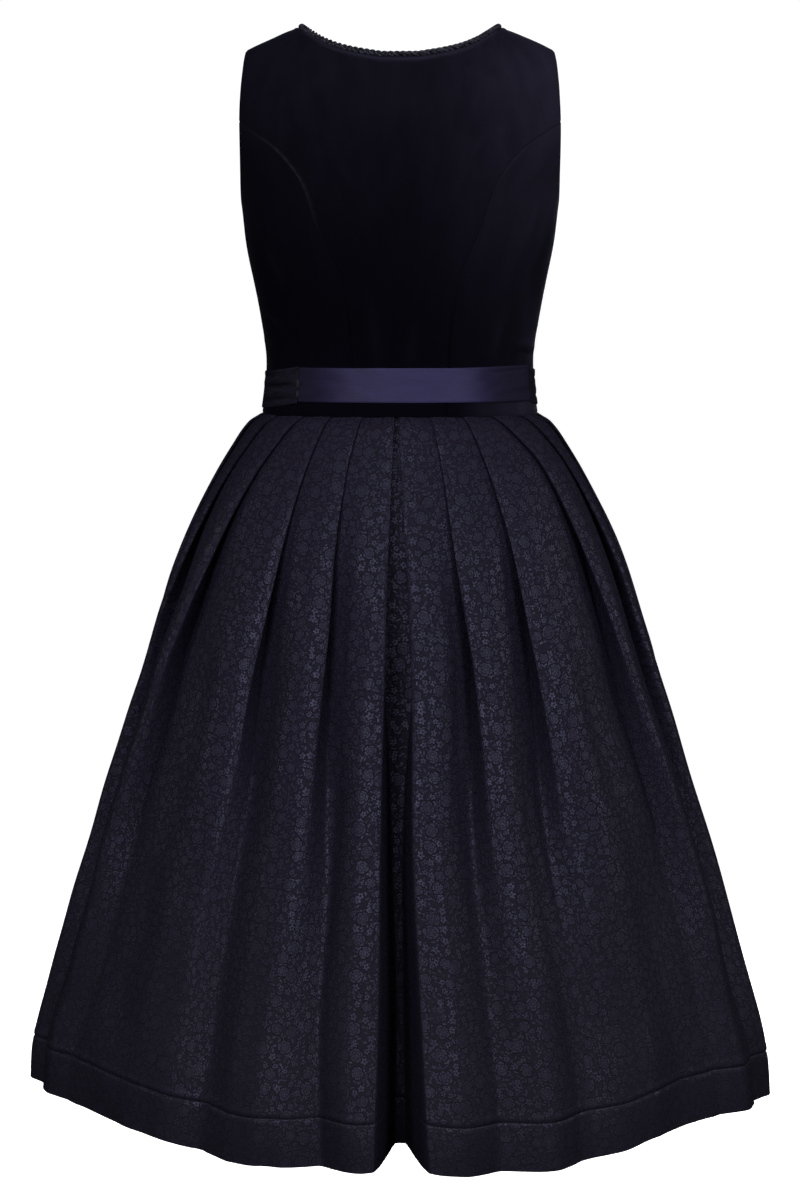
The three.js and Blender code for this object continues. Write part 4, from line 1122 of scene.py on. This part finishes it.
row_heights = np.concatenate([
    np.linspace(-344.8, -362, 9), np.linspace(-366, -440, 20), np.linspace(-445, -934, 88),
    np.linspace(-936.5, -950.5, 12), np.linspace(-954, HEM, 10),
])
skirt_rows = []
for z in row_heights:
    ring = skirt_ring(z)
    left, left_face = side_path(ring, z, FOLDS_LEFT)
    right, right_face = side_path(ring, z, FOLDS_RIGHT)
    path = soften(ring, z, np.concatenate([(right * [-1, 1])[:0:-1], left]))
    plan = place_on(ring, path)
    lift = hem_lift(plan[:, 0], plan[:, 1], z)
    skirt_rows.append(np.concatenate([plan, (z + lift)[:, None]], axis=1))
skirt_worn = np.stack(skirt_rows)

# Flat cloth: each pleat's face keeps its own width, the returns between take up the rest
face_round = np.concatenate([np.where(right_face > 0, -right_face, right_face)[:0:-1], left_face])
is_return = np.concatenate([right_face[:0:-1], left_face]) == FOLDED
round_run, down_run = walked(skirt_worn, 1), walked(skirt_worn, 0)
flat_across = np.zeros(round_run.shape)
for number in np.unique(face_round[~is_return]):
    columns = np.flatnonzero(~is_return & (face_round == number))
    middle = columns[len(columns) // 2]
    flat_across[:, columns] = round_run[-1, middle] + round_run[:, columns] - round_run[:, middle][:, None]
for flat_row, run in zip(flat_across, round_run):
    flat_row[:] = np.interp(run, run[~is_return], flat_row[~is_return])
flat_skirt = np.stack([flat_across, down_run[-1][None, :] - down_run], -1)

jacquard = Finish("jacquard")
jacquard_map = jacquard.cloth_map()


def scattered(place, spacing, jitter, seed):
    """Motifs scattered over the cloth: place from the nearest one's middle, and three numbers of its own"""
    moved = jacquard.vector("ADD", place, (seed, seed * 0.7, 0))
    scaled = jacquard.vector("SCALE", moved, 1 / spacing)
    cell = {"Vector": scaled, "Scale": 1.0, "Randomness": jitter}
    nearest = jacquard.node("TexVoronoi", cell, output="Position", voronoi_dimensions="2D")
    offset = jacquard.vector("SCALE", jacquard.vector("SUBTRACT", scaled, nearest), spacing)
    x, y, _ = jacquard.parts(offset)
    first = jacquard.node("SeparateColor", {0: nearest.other("Color")})
    return x, y, first, first.other(1), first.other(2)


def from_middle(x, y):
    """Distance and direction from a motif's middle"""
    return (x * x + y * y) ** 0.5, jacquard.math("ARCTAN2", y, x)


def inside(edge, distance, blur):
    """1 within a motif's edge, 0 outside it"""
    return ((edge - distance) / blur).between(0.0, 1.0)


def ring_line(share, start, end):
    """A line round a motif, where its share of the motif's size is past the start and before the end"""
    return share.between(*start) * (1.0 - share.between(*end))


# the motifs' outlines wander a little, as woven ones do
wander = jacquard.node("TexNoise", {"Vector": jacquard_map, "Scale": 0.11, "Detail": 2.0}, output=1)
wander = jacquard.vector("SCALE", jacquard.vector("SUBTRACT", wander, (0.5, 0.5, 0.5)), 3.0)
motif_place = jacquard.vector("ADD", jacquard_map, wander)
# open roses 10 to 15 mm across: five outer petals, five inner ones and a round heart
rose_x, rose_y, rose_a, rose_b, rose_c = scattered(motif_place, 20.0, 0.7, 3.0)
rose_r, rose_turn = from_middle(rose_x, rose_y)
rose_size = rose_a * 2.4 + 4.8
rose_share = rose_r / rose_size
rose_lean = rose_turn * 2.5 + rose_b * FULL_TURN
rose_petal = rose_lean.cosine().absolute()
rose_inner = rose_lean.sine().absolute()
rose_ripple = (rose_turn * 2.0 + rose_a * 9.0).sine() * 0.05
rose_edge = rose_size * (0.8 + rose_petal.least(0.7) * 0.24 + rose_ripple)
rose_on = rose_c.between(0.12, 0.14)
outer_lines = (1.0 - rose_petal.between(0.05, 0.36)) * rose_share.between(0.56, 0.66)
inner_lines = (1.0 - rose_inner.between(0.05, 0.4)) * ring_line(rose_share, (0.26, 0.34), (0.5, 0.58))
heart_line = ring_line(rose_share, (0.18, 0.24), (0.3, 0.36))
rose_rings = ring_line(rose_share, (0.5, 0.56), (0.62, 0.68)) + heart_line * 0.7
rose_lines = outer_lines.most(inner_lines).most(rose_rings * 0.8)
rose = inside(rose_edge, rose_r, 0.7) * rose_on
rose_halo = inside(rose_edge + 1.3, rose_r, 0.7) * rose_on
# small flowers 6 to 9 mm across
bud_x, bud_y, bud_a, bud_b, bud_c = scattered(motif_place, 9.0, 0.8, 31.0)
bud_r, bud_turn = from_middle(bud_x, bud_y)
bud_edge = (bud_a * 1.5 + 2.7) * (0.82 + (bud_turn * 5.0 + bud_b * FULL_TURN).cosine() * 0.2)
bud_on = bud_c.between(0.14, 0.16)
bud = inside(bud_edge, bud_r, 0.6) * bud_on * (bud_r.between(0.6, 1.1) * 0.85 + 0.15)
bud_halo = inside(bud_edge + 1.1, bud_r, 0.6) * bud_on
# leaves 4 to 5 mm long, turned every way
leaf_x, leaf_y, leaf_a, leaf_b, leaf_c = scattered(motif_place, 4.2, 0.9, 57.0)
leaf_lean = leaf_a * FULL_TURN
leaf_long = (leaf_x * leaf_lean.cosine() + leaf_y * leaf_lean.sine()) / 2.4
leaf_wide = leaf_y * leaf_lean.cosine() - leaf_x * leaf_lean.sine() + leaf_long * leaf_long * 0.6
leaf_form = 1.0 - leaf_long**2.0 - leaf_wide**2.0
leaf_on = leaf_b.between(0.14, 0.16)
leaf = leaf_form.between(0.0, 0.45) * leaf_on * (leaf_c * 0.45 + 0.6)
leaf_halo = leaf_form.between(-1.6, -0.6) * leaf_on
# roses lie over small flowers, and these over leaves, with a dark outline round each
rose_light = rose * (1.0 - rose_lines) * (0.62 + rose_b * 0.3)
motif = rose_light.most(bud.most(leaf * (1.0 - bud_halo)) * (1.0 - rose_halo))
outline = rose_halo.most(bud_halo).most(leaf_halo * 0.8) * (1.0 - motif)
warp, weft = jacquard.threads(0.42)
picks = jacquard.noise(jacquard.cloth_map(4.5, 0.7), 1.0, 2.0, 0.6)
mottle = jacquard.noise(jacquard.cloth_map(5.0, 16.0), 1.0, 3.0, 0.6)
# the hem's row of stitches, 3.2 mm apart
across, above_hem, _ = jacquard.parts(jacquard_map)
off_row = ((above_hem - HEM_DEPTH) / 0.5).absolute()
stitch = (1.0 - off_row.between(0.5, 1.3)) * (across / 3.2).fraction().between(0.28, 0.36)
_, _, jacquard_height = jacquard.parts(jacquard.worn_place())
low_down = (jacquard_height * -1.0).between(0.62, 0.92)
jacquard_colour = jacquard.coats(
    (0.0041, 0.0033, 0.0069),
    (outline * 0.85, (0.0016, 0.0011, 0.0029)),
    (motif * (0.42 + mottle * 1.1), (0.0115, 0.0112, 0.0200)),
    ((picks - 0.42) * 1.3, (0.0100, 0.0092, 0.0160)),
    (stitch * 0.6, (0.016, 0.016, 0.024)),
    (low_down * 0.24, (0.0060, 0.0054, 0.0068)))
jacquard.set(
    Base_Color=jacquard_colour,
    Roughness=0.62 - motif * 0.22,
    Metallic=motif * 0.52,
    Specular_IOR_Level=0.02,
    Normal=jacquard.dents(motif * 0.6 + (warp + weft) * 0.05 + picks * 0.5, 0.0002, 0.6),
)


def skirt_piece(name, columns, first_under, last_under):
    """One width of the skirt, between two columns of the whole round. At each seam one width's edge runs
    on a little way behind the other's."""
    worn = skirt_worn[:, columns].copy()
    for here, there, under, way in ((0, 1, first_under, 1), (-1, -2, last_under, -1)):
        step = unit(worn[:, there] - worn[:, here])
        inward = np.stack([step[:, 1], -step[:, 0], 0 * step[:, 0]], -1) * way
        worn[:, here] += inward * 1.2 - step * 2.4 if under else step * 0.15
    cloth = lay_cloth(name + "_jacquard", worn, flat_skirt[:, columns], SKIRT_WALL, 0, [jacquard.material])
    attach(cloth, "root")
    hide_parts(name)


# the side seams lie halfway along the return behind the fifth face of each side
centre_column = len(right) - 1
return_steps = sum(RETURN_STEPS)
seam_steps = BOX_STEPS + 5 * (return_steps + FACE_STEPS) + return_steps // 2
side_seam_r, side_seam_l = centre_column - seam_steps, centre_column + seam_steps
skirt_piece("skirt_back", slice(side_seam_r, side_seam_l + 1), False, False)

# ---- Skirt fronts ----
# Two more widths of the same cloth, seamed to the back inside a pleat and to each other in the middle
# of the front, where a plain panel lies between the last pleats.
skirt_piece("skirt_front_l", slice(side_seam_l, None), True, False)
skirt_piece("skirt_front_r", slice(0, side_seam_r + 1), True, True)
